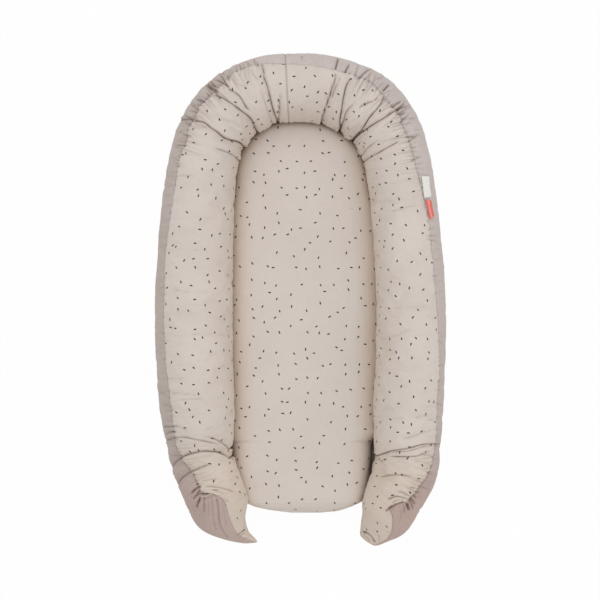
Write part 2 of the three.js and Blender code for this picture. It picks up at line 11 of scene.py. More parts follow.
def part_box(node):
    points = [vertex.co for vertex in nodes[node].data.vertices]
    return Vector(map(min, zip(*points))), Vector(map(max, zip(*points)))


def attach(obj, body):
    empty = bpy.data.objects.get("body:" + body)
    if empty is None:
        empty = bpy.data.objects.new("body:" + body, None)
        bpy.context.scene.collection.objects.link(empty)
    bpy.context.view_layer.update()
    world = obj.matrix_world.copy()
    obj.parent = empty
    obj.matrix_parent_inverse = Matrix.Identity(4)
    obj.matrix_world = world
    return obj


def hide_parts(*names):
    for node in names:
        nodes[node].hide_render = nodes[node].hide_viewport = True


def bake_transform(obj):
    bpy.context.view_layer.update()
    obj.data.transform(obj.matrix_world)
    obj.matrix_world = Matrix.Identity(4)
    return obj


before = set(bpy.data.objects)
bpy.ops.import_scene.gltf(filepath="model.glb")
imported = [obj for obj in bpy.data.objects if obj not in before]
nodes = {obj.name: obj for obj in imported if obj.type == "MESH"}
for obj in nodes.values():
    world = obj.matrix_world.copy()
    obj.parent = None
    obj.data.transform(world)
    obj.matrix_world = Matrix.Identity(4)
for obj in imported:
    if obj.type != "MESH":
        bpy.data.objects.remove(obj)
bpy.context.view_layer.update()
scene = bpy.context.scene
mm = 0.001
print("frame loaded:", len(nodes), "nodes")

# Camera: straight above the nest. The photograph is a square of view["pixels"], frameWidth wide at planeHeight.
view = {
    "height": 2.6,
    "planeHeight": 0.06,
    "frameWidth": 0.9736,
    "x": -0.0004,
    "y": -0.0002,
    "pixels": 600,
    "sensor": 36,
}


def makeCamera():
    data = bpy.data.cameras.new("camera")
    data.sensor_width = view["sensor"]
    data.lens = view["sensor"] * (view["height"] - view["planeHeight"]) / view["frameWidth"]
    data.clip_end = 50
    camera = bpy.data.objects.new("camera", data)
    camera.location = (view["x"], view["y"], view["height"])
    scene.collection.objects.link(camera)
    scene.camera = camera


makeCamera()
print("camera ready")


def pixelsPerMetre(z):
    return view["pixels"] / view["frameWidth"] * (view["height"] - view["planeHeight"]) / (view["height"] - z)


# Places of the photograph, in its pixels, for points in space
def toPixels(points):
    scale, middle = pixelsPerMetre(points[..., 2]), view["pixels"] / 2
    x, y = (points[..., 0] - view["x"]) * scale, (points[..., 1] - view["y"]) * scale
    return np.stack([middle + x, middle - y], axis=-1)


# Places in space of pixels, at a height
def fromPixels(pixels, z):
    pixels, middle = np.asarray(pixels, float), view["pixels"] / 2
    x = (pixels[..., 0] - middle) / pixelsPerMetre(z) + view["x"]
    y = (middle - pixels[..., 1]) / pixelsPerMetre(z) + view["y"]
    return np.stack([x, y, np.full(pixels.shape[:-1], z)], axis=-1)


def smoothStep(low, high, value):
    t = np.clip((value - low) / (high - low), 0, 1)
    return t * t * (3 - 2 * t)


# Gradient noise on two coordinates, about -1 to 1, the same in every run
def ripple(x, y, seed):
    xi, yi = np.floor(x).astype(np.int64), np.floor(y).astype(np.int64)
    fx, fy = x - xi, y - yi
    ux, uy = fx ** 3 * (fx * (fx * 6 - 15) + 10), fy ** 3 * (fy * (fy * 6 - 15) + 10)

    def corner(i, j):
        mixed = ((xi + i) * 374761393 + (yi + j) * 668265263 + seed * 144269504) & 0xFFFFFFFF
        mixed = ((mixed ^ (mixed >> 13)) * 1274126177) & 0xFFFFFFFF
        turn = ((mixed ^ (mixed >> 16)) & 0xFFFF) / 65536 * 2 * math.pi
        return np.cos(turn) * (fx - i) + np.sin(turn) * (fy - j)

    near = corner(0, 0) * (1 - ux) + corner(1, 0) * ux
    far = corner(0, 1) * (1 - ux) + corner(1, 1) * ux
    return (near * (1 - uy) + far * uy) * 1.5


# Rounded puffs with sharp valleys between them, -1 in a valley and 0 on a puff
def puffs(x, y, seed, sharpness=3):
    return -((1 - np.minimum(1, np.abs(ripple(x, y, seed)) * 1.7)) ** sharpness)


# Stuffed tube on the same spine as the solids have. Lengths of the first four are in millimetres, angles in
# degrees round the tube: 0 outside, 90 on top, 180 towards the pad.
tube = {
    "spineLength": 738,
    "armSpacing": 353,
    "tubeWidth": 126,
    "tubeHeight": 130,
    "floorShare": 0.94,
    "floorEdge": 1.6 * mm,
    "shift": (0.087, 0.007),
    "smoothPlaces": 7,
    "smoothSizes": 9,
    "sharpTips": (25, 70),
    "innerSeam": 208,
    "lowSeam": 230,
    "backSeamRow": 16.68,
    "fineStep": 0.9 * mm,
    "plainStep": 2.1 * mm,
    "acrossStep": 2.1 * mm,
}
# Shares of armSpacing, spineLength, tubeWidth and tubeHeight, and the outer seam's angle
spineShares = np.array([
    [-0.201, -0.544, 0.02, 0.04, 92],
    [-0.2281, -0.5385, 0.098, 0.1, 95],
    [-0.2625, -0.5305, 0.192, 0.195, 98],
    [-0.3162, -0.5065, 0.432, 0.425, 100],
    [-0.36, -0.4737, 0.745, 0.655, 95],
    [-0.387, -0.436, 0.79, 0.76, 74],
    [-0.427, -0.387, 0.79, 0.81, 57],
    [-0.456, -0.341, 0.8, 0.86, 48],
    [-0.461, -0.31, 0.85, 0.89, 43],
    [-0.466, -0.275, 0.915, 0.91, 43],
    [-0.475, -0.224, 0.965, 0.92, 42],
    [-0.49, -0.033, 1, 0.91, 39],
    [-0.47, 0.2, 0.935, 0.95, 40],
    [-0.431, 0.33, 0.875, 0.985, 45],
    [-0.383, 0.382, 0.89, 0.99, 44],
    [-0.295, 0.427, 0.9, 1, 43],
    [-0.167, 0.458, 0.89, 1, 43],
    [-0.01, 0.466, 0.875, 1, 43],
    [0.146, 0.457, 0.88, 1, 46],
    [0.293, 0.427, 0.91, 1, 50],
    [0.384, 0.381, 0.865, 1, 55],
    [0.431, 0.33, 0.85, 1, 57],
    [0.477, 0.2, 0.855, 0.99, 46],
    [0.509, -0.031, 0.895, 0.97, 35],
    [0.497, -0.222, 0.895, 0.95, 31],
    [0.494, -0.282, 0.88, 0.93, 32],
    [0.49, -0.323, 0.86, 0.9, 34],
    [0.4915, -0.359, 0.84, 0.86, 38],
    [0.463, -0.403, 0.812, 0.81, 46],
    [0.4243, -0.4432, 0.757, 0.74, 66],
    [0.3953, -0.4808, 0.687, 0.64, 72],
    [0.352, -0.5125, 0.464, 0.46, 62],
    [0.321, -0.5345, 0.285, 0.3, 50],
    [0.309, -0.543, 0.17, 0.17, 40],
])
lastRow = len(spineShares) - 1


# Smooth curve through the rows of a table (centripetal Catmull-Rom), at any row
def throughRows(table, rows):
    rows = np.asarray(rows, float)
    first = np.clip(np.floor(rows).astype(int), 0, len(table) - 2)
    w = (rows - first)[:, None]
    ends = np.vstack([2 * table[0] - table[1], table, 2 * table[-1] - table[-2]])
    p0, p1, p2, p3 = (ends[first + k] for k in range(4))

    def gap(a, b):
        return ((a - b) ** 2).sum(1, keepdims=True) ** 0.25 + 1e-9

    d0, d1, d2 = gap(p0, p1), gap(p1, p2), gap(p2, p3)
    t1 = ((p1 - p0) / d0 - (p2 - p0) / (d0 + d1) + (p2 - p1) / d1) * d1
    t2 = ((p2 - p1) / d1 - (p3 - p1) / (d1 + d2) + (p3 - p2) / d2) * d1
    return p1 + t1 * w + (3 * (p2 - p1) - 2 * t1 - t2) * w ** 2 + (2 * (p1 - p2) + t1 + t2) * w ** 3


def softened(values, sigma, mirrored=False):
    reach = int(sigma * 3) + 1
    kernel = np.exp(-0.5 * (np.arange(-reach, reach + 1) / sigma) ** 2)
    kernel /= kernel.sum()
    lead, tail = values[1:reach + 1][::-1], values[-reach - 1:-1][::-1]
    if mirrored:
        lead, tail = 2 * values[0] - lead, 2 * values[-1] - tail
    long = np.concatenate([lead, values, tail])
    return np.convolve(long, kernel, mode="valid")


# Everything about the spine, sampled every millimetre of its length
def measureSpine():
    rows = np.linspace(0, lastRow, 200 * lastRow + 1)
    middles = spineShares[:, :2] * [tube["armSpacing"], tube["spineLength"]]
    sizes = spineShares[:, 2:] * [tube["tubeWidth"], tube["tubeHeight"], 1]
    places = throughRows(middles, rows)
    measures = throughRows(sizes, rows)
    run = np.concatenate([[0], np.cumsum(np.linalg.norm(np.diff(places, axis=0), axis=1))])
    at = np.arange(0, run[-1], 1.0)
    row = np.interp(at, run, rows)
    tip = smoothStep(*tube["sharpTips"], np.minimum(at, run[-1] - at))
    found = {"s": at * mm, "row": row, "length": run[-1] * mm}
    for name, values, sigma in (
        ("x", places[:, 0] + tube["shift"][0], tube["smoothPlaces"]),
        ("y", places[:, 1] + tube["shift"][1], tube["smoothPlaces"]),
        ("width", measures[:, 0], tube["smoothSizes"]),
        ("height", measures[:, 1], tube["smoothSizes"]),
    ):
        raw = np.interp(at, run, values)
        found[name] = (raw + (softened(raw, sigma, mirrored=True) - raw) * tip) * mm
    found["seam"] = np.interp(at, run, measures[:, 2])
    along = np.stack([np.gradient(found["x"]), np.gradient(found["y"])], axis=1)
    along /= np.linalg.norm(along, axis=1, keepdims=True)
    found["outX"], found["outY"] = -along[:, 1], along[:, 0]
    return found


spine = measureSpine()


def onSpine(name, s):
    return np.interp(s, spine["s"], spine[name])


def placeOfRow(row):
    return float(np.interp(row, spine["row"], spine["s"]))


# A point of the tube's smooth wall, inset below it
def wall(s, angle, inset=0.0, settled=True):
    halfHeight = onSpine("height", s) / (1 + tube["floorShare"])
    axis = onSpine("height", s) - halfHeight
    turn = np.radians(angle)
    across = (onSpine("width", s) / 2 - inset) * np.cos(turn)
    up = axis + (halfHeight - inset) * np.sin(turn)
    if settled:  # rests flat on the floor, with a soft edge
        up = (up + np.sqrt(up ** 2 + tube["floorEdge"] ** 2)) / 2
    x = onSpine("x", s) + onSpine("outX", s) * across
    y = onSpine("y", s) + onSpine("outY", s) * across
    return np.stack([x, y, up], axis=-1)


def wallNormal(s, angle):
    ds, da = 0.6 * mm, 0.4
    rowWay = wall(s + ds, angle) - wall(s - ds, angle)
    turnWay = wall(s, angle + da) - wall(s, angle - da)
    out = np.cross(turnWay, rowWay)
    return out / (np.linalg.norm(out, axis=-1, keepdims=True) + 1e-12)


# Finds places on the tube from pixels of the photograph: the nearest seen point
def makeFinder():
    s, angle = np.meshgrid(np.arange(1 * mm, spine["length"], 2 * mm), np.arange(3, 178, 1.5), indexing="ij")
    seen = toPixels(wall(s, angle)).reshape(-1, 2)
    tree = kdtree.KDTree(len(seen))
    for k, (x, y) in enumerate(seen):
        tree.insert((x, y, 0), k)
    tree.balance()
    flatS, flatAngle = s.ravel(), angle.ravel()

    def find(pixels):
        hits = [tree.find((x, y, 0))[1] for x, y in pixels]
        return flatS[hits], flatAngle[hits]

    return find


findOnTube = makeFinder()


# Points between the given pixels, close together, on a smooth line
def drawn(pixels, gap=2.0):
    line = np.array(pixels, float)
    steps = np.linalg.norm(np.diff(line, axis=0), axis=1)
    rows = [np.linspace(k, k + 1, max(2, int(n / gap) + 1))[:-1] for k, n in enumerate(steps)]
    rows = np.concatenate(rows + [[len(steps)]])
    return throughRows(line, rows)


# Seam between the printed top and the plain band, in pixels from the left tip to the right tip
seamPixels = [
    (252, 540.5), (239, 535), (232, 523.6), (227.7, 512), (224, 500), (217.9, 496.2), (211, 493), (206, 492.6),
    (201.3, 495.4), (200, 489), (197.8, 484.2), (191.1, 472.7), (183.5, 462.2), (175.8, 445.9), (172.5, 423.9),
    (170.1, 404.8),
    (167.7, 385.7), (164.8, 366.5), (164.3, 347.4), (162.9, 323.5), (163.9, 290), (164.3, 269.6), (165.8, 245.7),
    (168.2, 226.5), (170.6, 209.3), (173, 195), (174.9, 183.5), (177.7, 164.4), (181.6, 150), (186.4, 137.6),
    (188.3, 126.1), (195, 115.6), (197.8, 107), (211.2, 93.6), (224.6, 81), (233.2, 72), (250.5, 65.6), (263.8, 63.4),
    (283.9, 63.2), (300, 63.8), (318, 65.6), (335.7, 69.7), (351, 73.5), (370.2, 81.1), (382.6, 93.6), (387.4, 101.2),
    (399.8, 112.7), (403.7, 126.1), (408.4, 136.6), (412.3, 148.1), (416.1, 164.4), (419.9, 176.8), (425.7, 201.7),
    (430.4, 231.3), (433.3, 260), (436.2, 293.5), (438.1, 313.9), (439.5, 347.4), (440, 371.3), (438.1, 395.2),
    (437.1, 423.9), (436.2, 443), (433.3, 457.4), (430.4, 470.8), (424.7, 481.3), (418, 489), (415.1, 493.8),
    (411, 498), (406, 503), (400.7, 503), (394, 505.4), (388, 509), (389.5, 512), (392, 514.6), (392.7, 525),
    (391, 532.5), (387, 539),
]


def measureSeam():
    s, angle = findOnTube(drawn(seamPixels, 1.5))
    order = np.argsort(s, kind="stable")
    even = np.arange(0, spine["length"], 1 * mm)
    line = np.interp(even, s[order], angle[order])
    return even, softened(line, 2.2)


seamPlaces, seamAngles = measureSeam()


def seamAngle(s):
    return np.interp(s, seamPlaces, seamAngles)


# A fold: depth and width in millimetres, and its line as x, y, x, y in pixels. runs says at which ends it
# goes on round the tube: "in" to the pad, "out" over the band. firm says which ends don't fade, lean
# which side is steep, dark how much wider its line of painted shade is.
def fold(deep, wide, line, runs="", firm="", lean=0, dark=1):
    return {"line": np.reshape(line, (-1, 2)), "deep": deep * mm, "wide": wide * mm, "runs": runs,
            "open": [end in runs + firm for end in ("out", "in")], "lean": lean, "dark": dark}


folds = [
    # head, left half
    fold(3.5, 5, [253, 58.9, 256.6, 68.6], runs="out"),
    fold(7.5, 10, [261.2, 60, 263.3, 67.5, 264.3, 77.8, 267.3, 84.9, 269.4, 94, 271.4, 103.3, 274.5, 113.5,
          277.5, 121.6], lean=1, runs="in", firm="out"),
    fold(2.6, 2, [302.5, 55, 302.5, 63], firm="inout"),
    fold(1.8, 6, [249.5, 67.5, 253, 74.7, 258.2, 80.8]),
    fold(2.2, 8, [257, 85, 261, 93, 265, 101, 268, 111, 271, 119], runs="in"),
    fold(5.5, 9, [281, 90, 279.6, 103, 278.6, 120], lean=-1, runs="in"),
    fold(4.4, 8, [227.5, 87.4, 234.7, 92, 240.8, 97, 243.9, 103, 248, 109.4, 252, 113.5], lean=1, firm="out"),
    fold(6.5, 11, [212, 92.5, 221.4, 97, 227.5, 101, 235.7, 106.3, 242.9, 112.4, 250, 117.5, 254, 123.7,
          257, 130.8], lean=1, runs="in", firm="out"),
    fold(6, 10, [178, 120, 182.6, 119.6, 195, 119.6, 205, 122.6, 211, 127.8, 217.3, 131.8, 224.5, 138,
          231.6, 141, 238.8, 142, 242.8, 144, 245, 148], lean=1, runs="inout"),
    fold(2.2, 5, [191.8, 122.6, 201, 125.7, 208, 128.8]),
    fold(4, 9, [210, 147, 221.4, 150.2, 229.6, 153.3, 234.7, 156.3, 238.8, 160.4], lean=1, runs="in"),
    fold(1.4, 6, [231.6, 82.8, 241.8, 85, 248, 88]),
    fold(6.5, 2.6, [205.5, 82, 208.4, 85.4, 212.6, 91.4], firm="in"),
    fold(6.5, 2.6, [209, 79.5, 211.6, 82.3, 216, 88.4], firm="in"),
    fold(3.5, 2.2, [207, 81, 210, 84.2, 214.2, 89.6], firm="in"),
    fold(3, 4, [221, 71, 223.5, 74.7, 227.5, 79.3], runs="out"),
    fold(2.6, 4, [196, 99, 200, 101, 205, 104.8], runs="out"),
    fold(2.2, 4, [191, 104, 195, 105, 200, 107]),
    fold(2.4, 4, [176.5, 148, 183.7, 148], runs="out"),
    fold(2, 4, [179.6, 132.9, 186.7, 132.9], runs="out"),
    fold(1.5, 6, [166, 176, 183.7, 175.7, 200, 176], runs="out"),
    # head, right half
    fold(6.5, 3.4, [339.2, 58, 337.6, 64, 335.8, 70.4], firm="in", dark=1.3),
    fold(7, 10, [336.4, 71, 334.9, 79.8, 332.3, 88, 328.8, 98.2, 325.2, 108.4,
          322.1, 117.6], lean=-1, runs="in", firm="out"),
    fold(3.2, 6, [341, 73, 340, 78.8, 336, 86, 332.9, 94, 331.3, 102.2]),
    fold(6, 3.4, [350, 62, 348.7, 65, 344.4, 73.5], firm="in", dark=1.3),
    fold(6, 9, [351.2, 76.7, 346, 87, 343, 99.2, 341, 111.4, 339, 122.7,
          340, 129.8], lean=-1, runs="in", firm="out"),
    fold(4, 9, [359.4, 98.2, 351.2, 106.3, 345, 113.5, 343, 121.6], lean=-1, runs="in"),
    fold(3.6, 8, [376.7, 100.2, 365.5, 103.8, 357.3, 109.4]),
    fold(6.5, 10, [385.9, 93, 381.8, 102.2, 374.7, 111.4, 367.5, 119.6, 362.4, 127.8,
          359.4, 132.5], lean=-1, runs="in", firm="out"),
    fold(5.5, 9, [407.3, 106.3, 397, 109.4, 389, 114.5, 379.8, 120.6, 371.6, 125.7, 364.5, 130.8, 357.3, 135.9,
          352.2, 141], lean=1, runs="inout"),
    fold(4.2, 7, [400.2, 140.5, 390, 146, 379.8, 152.2, 370.6, 157.3,
          364.5, 162.4], lean=1, runs="in", firm="out"),
    fold(3.6, 8, [381.8, 138, 373.7, 143, 366.5, 149.2, 362.4, 155.3], runs="in"),
    fold(5.6, 3.4, [391, 84, 387.5, 87, 383, 91.8], firm="in", dark=1.3),
    fold(4.6, 3.6, [402.5, 99.3, 397, 103, 390.5, 107.8], firm="in"),
    fold(4, 3.4, [407.5, 103.6, 402, 106, 396, 109.2], firm="in", dark=1.3),
    fold(3.6, 3, [373, 99.4, 376, 100.8, 378.8, 96.5], firm="inout"),
    fold(2.4, 4, [385.5, 74.5, 384.9, 75.7, 373.7, 80.3, 370.6, 82.9], runs="out"),
    fold(2.5, 3.5, [350, 72, 349, 75.5]),
    fold(2.2, 3.5, [355.3, 72, 354, 76]),
    fold(2.4, 4, [359, 74.7, 356, 80]),
    fold(2.4, 5, [414, 118, 405, 119, 398, 121], runs="out"),
    fold(2, 5, [419.5, 129, 410, 131], runs="out"),
    # arms
    fold(1.3, 12, [183.5, 333, 204, 335, 221, 334.5, 231, 337]),
    fold(1.3, 7, [157, 379.5, 168, 379, 193, 377], runs="out"),
    fold(1.5, 8, [158, 393.5, 168, 393, 204, 396], runs="out"),
    fold(1.2, 8, [169, 401, 207, 399]),
    fold(1.9, 8, [387, 210.5, 394, 211, 406, 207.5, 419, 205.6]),
    fold(1.8, 8, [390, 307.5, 404, 308.5, 418, 307.5, 434, 307.5]),
    fold(1.3, 10, [378, 340, 397, 335, 414, 327]),
    fold(1.3, 8, [409, 336, 429.5, 336]),
    fold(1, 10, [171, 248, 190, 250, 207, 249]),
    fold(1, 9, [170, 290, 192, 292]),
    # left foot end
    fold(3, 4.4, [163.6, 435.8, 166, 434.4, 169.6, 432.1, 175.7, 431.1]),
    fold(3.4, 8, [165, 441.5, 169.6, 439.8, 174.7, 437.8, 183.9, 437.8, 194, 439.3, 205.3, 441.3, 215.5, 443.9,
          224.7, 446.4], lean=-1, runs="out"),
    fold(4.2, 9, [200.2, 436.2, 207.3, 436.7, 214.5, 439.3, 221.6, 442.3, 227.8, 446.4,
          230.3, 450], lean=-1, runs="in"),
    fold(5.5, 10, [168.5, 473, 173.2, 465.3, 178.8, 459.2, 184.9, 456, 195, 453, 205.3, 451.5, 215.5, 452,
          223.7, 453.6, 227.8, 456, 230.3, 459.2], lean=-1, runs="inout"),
    fold(4.2, 9, [175, 488, 178.8, 481.6, 183.9, 476.5, 191, 472.4, 199.2, 467.9, 207.3, 465.3,
          217.6, 463.3], lean=-1, runs="out"),
    fold(2, 7, [199.2, 481.6, 211.4, 480, 219.6, 478]),
    fold(3, 7, [201.2, 486.7, 211.4, 486.7, 225.7, 488.8, 231.8, 490.8, 239, 493.4], lean=-1),
    fold(1.8, 5, [208, 489.6, 216, 491, 226, 495]),
    fold(2.4, 5, [223.7, 499, 230.8, 503]),
    fold(6, 4, [199.5, 494.3, 202, 494.9, 205.4, 494.3, 210, 493.3], firm="inout", dark=1.4),
    fold(5.5, 4.5, [201.2, 494.9, 200.3, 498.6, 198.2, 502, 195.7, 509.8], firm="inout", dark=1.4),
    fold(4.5, 3, [198.9, 482.7, 197.8, 484.3, 194.7, 486.8], firm="inout", dark=1.5),
    fold(4.6, 3.5, [199.4, 486, 198, 487.2, 194, 490.4, 190.6, 495.5], firm="inout", dark=1.5),
    fold(3.6, 3.5, [200.4, 489, 196.5, 495, 193, 500], firm="inout", dark=1.4),
    fold(2.7, 4.5, [203.9, 496, 204, 505, 203.5, 514], firm="inout", dark=1.4),
    fold(1.8, 6, [207.5, 495.6, 208.4, 505, 208.8, 518], firm="inout"),
    fold(2.2, 7, [211, 495.6, 212.2, 505, 213.5, 520, 217, 532], firm="inout"),
    fold(2.7, 7, [216.5, 497.2, 218, 507.1, 218.9, 517.3, 219.7, 523.6, 223.8, 532,
          229, 539], lean=1, firm="inout", dark=1.5),
    fold(1.6, 6, [221.5, 500, 224, 510, 225.5, 521, 229, 530]),
    fold(4.5, 4, [236, 537, 239, 534.7, 242, 530.6, 245, 529.6], firm="inout", dark=1.5),
    fold(4, 3, [239, 537.5, 243, 533.5, 246, 531.6], firm="inout"),
    fold(2, 4, [241, 540, 247, 537, 252, 539]),
    fold(1.5, 6, [171, 426, 179, 426, 189, 433]),
    fold(1.2, 7, [204, 430.6, 215, 427.5]),
    # right foot end
    fold(4.6, 8, [376, 456.6, 381.6, 454, 388.8, 451.5, 398, 450, 408.2, 449, 417.3, 445.9, 427.6, 443.9,
          438.8, 444.4], lean=1, runs="inout"),
    fold(2.6, 5, [386, 453.6, 396, 452.2, 408, 452, 417, 448.6, 427, 446.6, 437, 447.5], lean=1),
    fold(4, 6, [385.7, 456.6, 395.9, 457.1, 407.1, 457.1, 417.3, 455.6, 427.6, 452, 433.7, 450], lean=1),
    fold(2.6, 7, [377.5, 462.8, 381.6, 460.2, 388.8, 458.2]),
    fold(3.4, 9, [376.5, 478, 386.7, 475.5, 396.9, 475, 406.1, 476, 415.3, 478.6], lean=1),
    fold(2, 5, [421.4, 465.3, 430.6, 466.8]),
    fold(2, 5, [417.5, 454, 426, 454.6, 433, 457.5, 437, 462]),
    fold(1.6, 5, [412, 462.5, 421, 461.5, 429, 464, 433.5, 469]),
    fold(2.4, 5, [420.4, 469.4, 426.5, 471.4, 430.6, 475.5], runs="out"),
    fold(5, 5, [384, 512.5, 389.8, 509.2, 395.9, 505.1, 401, 502.6, 405.5, 502.2], firm="inout"),
    fold(7.5, 3.8, [406, 501.5, 407.2, 505, 409.2, 512], firm="inout", dark=2.2),
    fold(3, 4, [403.5, 503.5, 403.8, 510, 404.5, 515], firm="inout"),
    fold(5.2, 3.4, [409.4, 496.7, 412.6, 501.2, 415.8, 506], firm="in", dark=1.7),
    fold(4.6, 3.2, [408.6, 499.6, 411.5, 505, 413.4, 511], firm="in", dark=1.5),
    fold(3.2, 3.4, [412.5, 494.5, 415.8, 497.4, 418, 500], firm="in", dark=1.4),
    fold(3, 3, [414.5, 490.5, 420, 494.5], firm="inout"),
    fold(3.4, 6, [386, 500.5, 393, 497, 400, 496.6, 406.2, 499], lean=1, firm="inout"),
    fold(2.6, 4, [391, 503.5, 398, 500, 404.5, 500.4], firm="inout"),
    fold(2.4, 4, [398, 491.5, 404.5, 493.4, 408.5, 497], firm="inout"),
    fold(2.8, 3.4, [409, 487.3, 413, 488.6, 416, 488], firm="inout"),
    fold(2.6, 3, [408, 491, 411.5, 493.6], firm="inout"),
    fold(3, 3.4, [417, 483, 421, 489], runs="out"),
    fold(2.2, 4, [414, 479.5, 419, 480.5, 424, 484]),
    fold(8, 6, [361, 531.6, 364.3, 530.6, 367.3, 532.7, 371.4, 535.7,
          375.5, 543.5], lean=1, firm="inout", dark=2.3),
    fold(6, 3, [361.5, 532.6, 364.6, 532, 367.5, 534], firm="inout"),
    fold(3, 3.5, [362, 534.5, 365, 534.8, 368, 538.5, 371, 543]),
    fold(2, 5, [377.5, 533, 379, 538, 378, 544]),
    fold(1.8, 4, [384, 533, 389, 531.5, 392.5, 532.5]),
    fold(1.6, 7, [413.3, 418.4, 425.5, 416.3, 437.8, 414.3]),
    fold(2, 8, [398, 438.8, 410.2, 437.8, 422.4, 432.7, 438.8, 428.6]),
    fold(1.6, 6, [425, 421, 442, 418]),
    fold(1.6, 8, [402, 506, 401, 516, 398, 527]),
]

# How folds are shaped. Runs go on in degrees round the tube. Depth, reach, puffs and valley are shares of each
# fold's own depth and width, and beside are the small waves next to it.
foldLook = {
    "runStep": 3.0,
    "runIn": 4,
    "runOut": 38,
    "outShare": 0.86,
    "outFade": (-2, 12),
    "depth": 0.9,
    "reach": 4.2,
    "steepWide": 0.3,
    "gentleWide": 1.35,
    "notch": 0.85 * mm,
    "notchShare": 0.46,
    "valleyWide": 0.62,
    "puffShare": 0.3,
    "puffAt": 1.35,
    "puffWide": 0.75,
    "besideTurns": 2 * math.pi / (6.5 * mm),
    "besideShare": 0.13,
    "besideFrom": (1.5 * mm, 4 * mm),
    "openFade": 0.04,
    "closedFade": 0.22,
    "unevenSize": 0.011,
    # darkWidth, darkDeep and softDark size the painted shade in a fold
    "darkWidth": 0.8 * mm,
    "darkDeep": 5 * mm,
    "softDark": 0.2,
}


# Each fold with its line in space on the smooth wall, going round the tube where it runs on
def placeFolds():
    for one in folds:
        s, angle = (softened(np.pad(part, 8, "edge"), 1.5)[8:-8] for part in findOnTube(drawn(one["line"])))
        flipped = angle[0] > angle[-1]
        if flipped:
            s, angle = s[::-1], angle[::-1]
        drawnTo, step = angle[0], foldLook["runStep"]
        if "in" in one["runs"]:
            more = np.arange(angle[-1] + step, tube["innerSeam"] + foldLook["runIn"], step)
            s, angle = np.append(s, np.full(len(more), s[-1])), np.append(angle, more)
        if "out" in one["runs"]:
            more = np.arange(angle[0] - step, angle[0] - foldLook["runOut"], -step)[::-1]
            s, angle = np.append(np.full(len(more), s[0]), s), np.append(more, angle)
        one["line"] = wall(s, angle)
        one["level"] = 1 - foldLook["outShare"] * smoothStep(*foldLook["outFade"], drawnTo - angle)
        if flipped:
            one["lean"] = -one["lean"]


placeFolds()


# For points near a line: how far they are, how far along it (0 to 1), and on which side
def nearestOnLine(line, points, normals):
    nearest, along, side = np.full(len(points), 9.0), np.zeros(len(points)), np.zeros(len(points))
    steps = len(line) - 1
    for k in range(steps):
        a, ab = line[k], line[k + 1] - line[k]
        t = np.clip(((points - a) @ ab) / max(ab @ ab, 1e-12), 0, 1)
        off = points - (a + t[:, None] * ab)
        gap = np.linalg.norm(off, axis=1)
        closer = gap < nearest
        nearest[closer], along[closer] = gap[closer], (k + t[closer]) / steps
        side[closer] = np.sign((np.cross(ab, normals[closer]) * off[closer]).sum(1))
    return nearest, along, side


# How far the folds press the cloth in, and the painted shade inside them
def pressFolds(points, normals):
    look = foldLook
    flat, way = points.reshape(-1, 3), normals.reshape(-1, 3)
    press, dark = np.zeros(len(flat)), np.zeros(len(flat))
    for one in folds:
        line, reach = one["line"], one["wide"] * look["reach"]
        near = np.flatnonzero(np.all((flat > line.min(0) - reach) & (flat < line.max(0) + reach), axis=1))
        if not len(near):
            continue
        p = flat[near]
        gap, along, side = nearestOnLine(line, p, way[near])
        lead, tail = (look["openFade"] if isOpen else look["closedFade"] for isOpen in one["open"])
        fade = smoothStep(0, lead, along) * (1 - smoothStep(1 - tail, 1, along))
        uneven = ripple(p[:, 0] / look["unevenSize"], p[:, 1] / look["unevenSize"], 71)
        fade = fade * np.clip(0.8 + 0.2 * smoothStep(0, 0.8, along) + 0.28 * uneven, 0.3, 1.3)
        level = np.interp(along * (len(line) - 1), np.arange(len(line)), one["level"])
        lean = side * one["lean"]
        wide = one["wide"] * np.where(lean > 0, look["gentleWide"], np.where(lean < 0, look["steepWide"], 1.0))
        notch = np.exp(-(gap / look["notch"]) ** 2) * look["notchShare"]
        valley = np.exp(-gap / (wide * look["valleyWide"])) * (1 - look["notchShare"])
        puff = np.exp(-((gap - wide * look["puffAt"]) / (wide * look["puffWide"])) ** 2) * look["puffShare"]
        beside = np.cos(gap * look["besideTurns"] + 4 * along) * np.exp(-gap / (wide * 0.9)) * look["besideShare"]
        beside = beside * smoothStep(*look["besideFrom"], gap) * np.sin(along * math.pi)
        press[near] += look["depth"] * one["deep"] * fade * level * (puff + beside - notch - valley)
        # painted shade in the fold: a narrow dark line with a softer shade beside it
        depth = np.clip(one["deep"] / look["darkDeep"], 0.2, 1.15) ** 1.1 * (0.4 + 0.6 * level)
        narrow = np.exp(-(gap / (look["darkWidth"] * one["dark"])) ** 2)
        soft = look["softDark"] * np.exp(-gap / (wide * 0.3))
        dark[near] = np.maximum(dark[near], fade * depth * np.maximum(narrow, soft))
    return press.reshape(points.shape[:-1]), dark.reshape(points.shape[:-1])


# How strongly the cloth is gathered along the spine, by row of its table
gatherRows = [0, 2, 4, 5, 6, 7, 8, 9, 10.3, 11, 11.6, 12.3, 13, 14, 15, 15.8, 16.4, 17.2, 17.9, 18.6, 20, 21, 22,
              22.6, 23.4, 24.2, 25.4, 26.4, 27.5, 29, 30.5, 33]
gatherLevels = [0.5, 0.8, 1, 1, 0.95, 0.8, 0.6, 0.5, 0.34, 0.26, 0.24, 0.42, 0.8, 1, 1, 0.7, 0.3, 0.2, 0.4, 0.9, 1,
                0.85, 0.5, 0.34, 0.26, 0.34, 0.5, 0.7, 1, 1, 0.9, 0.6]
tipRows = (5.3, 28.9)  # where the gathers of the two foot ends stop


def gatherLevel(s):
    return np.interp(onSpine("row", s), gatherRows, gatherLevels)


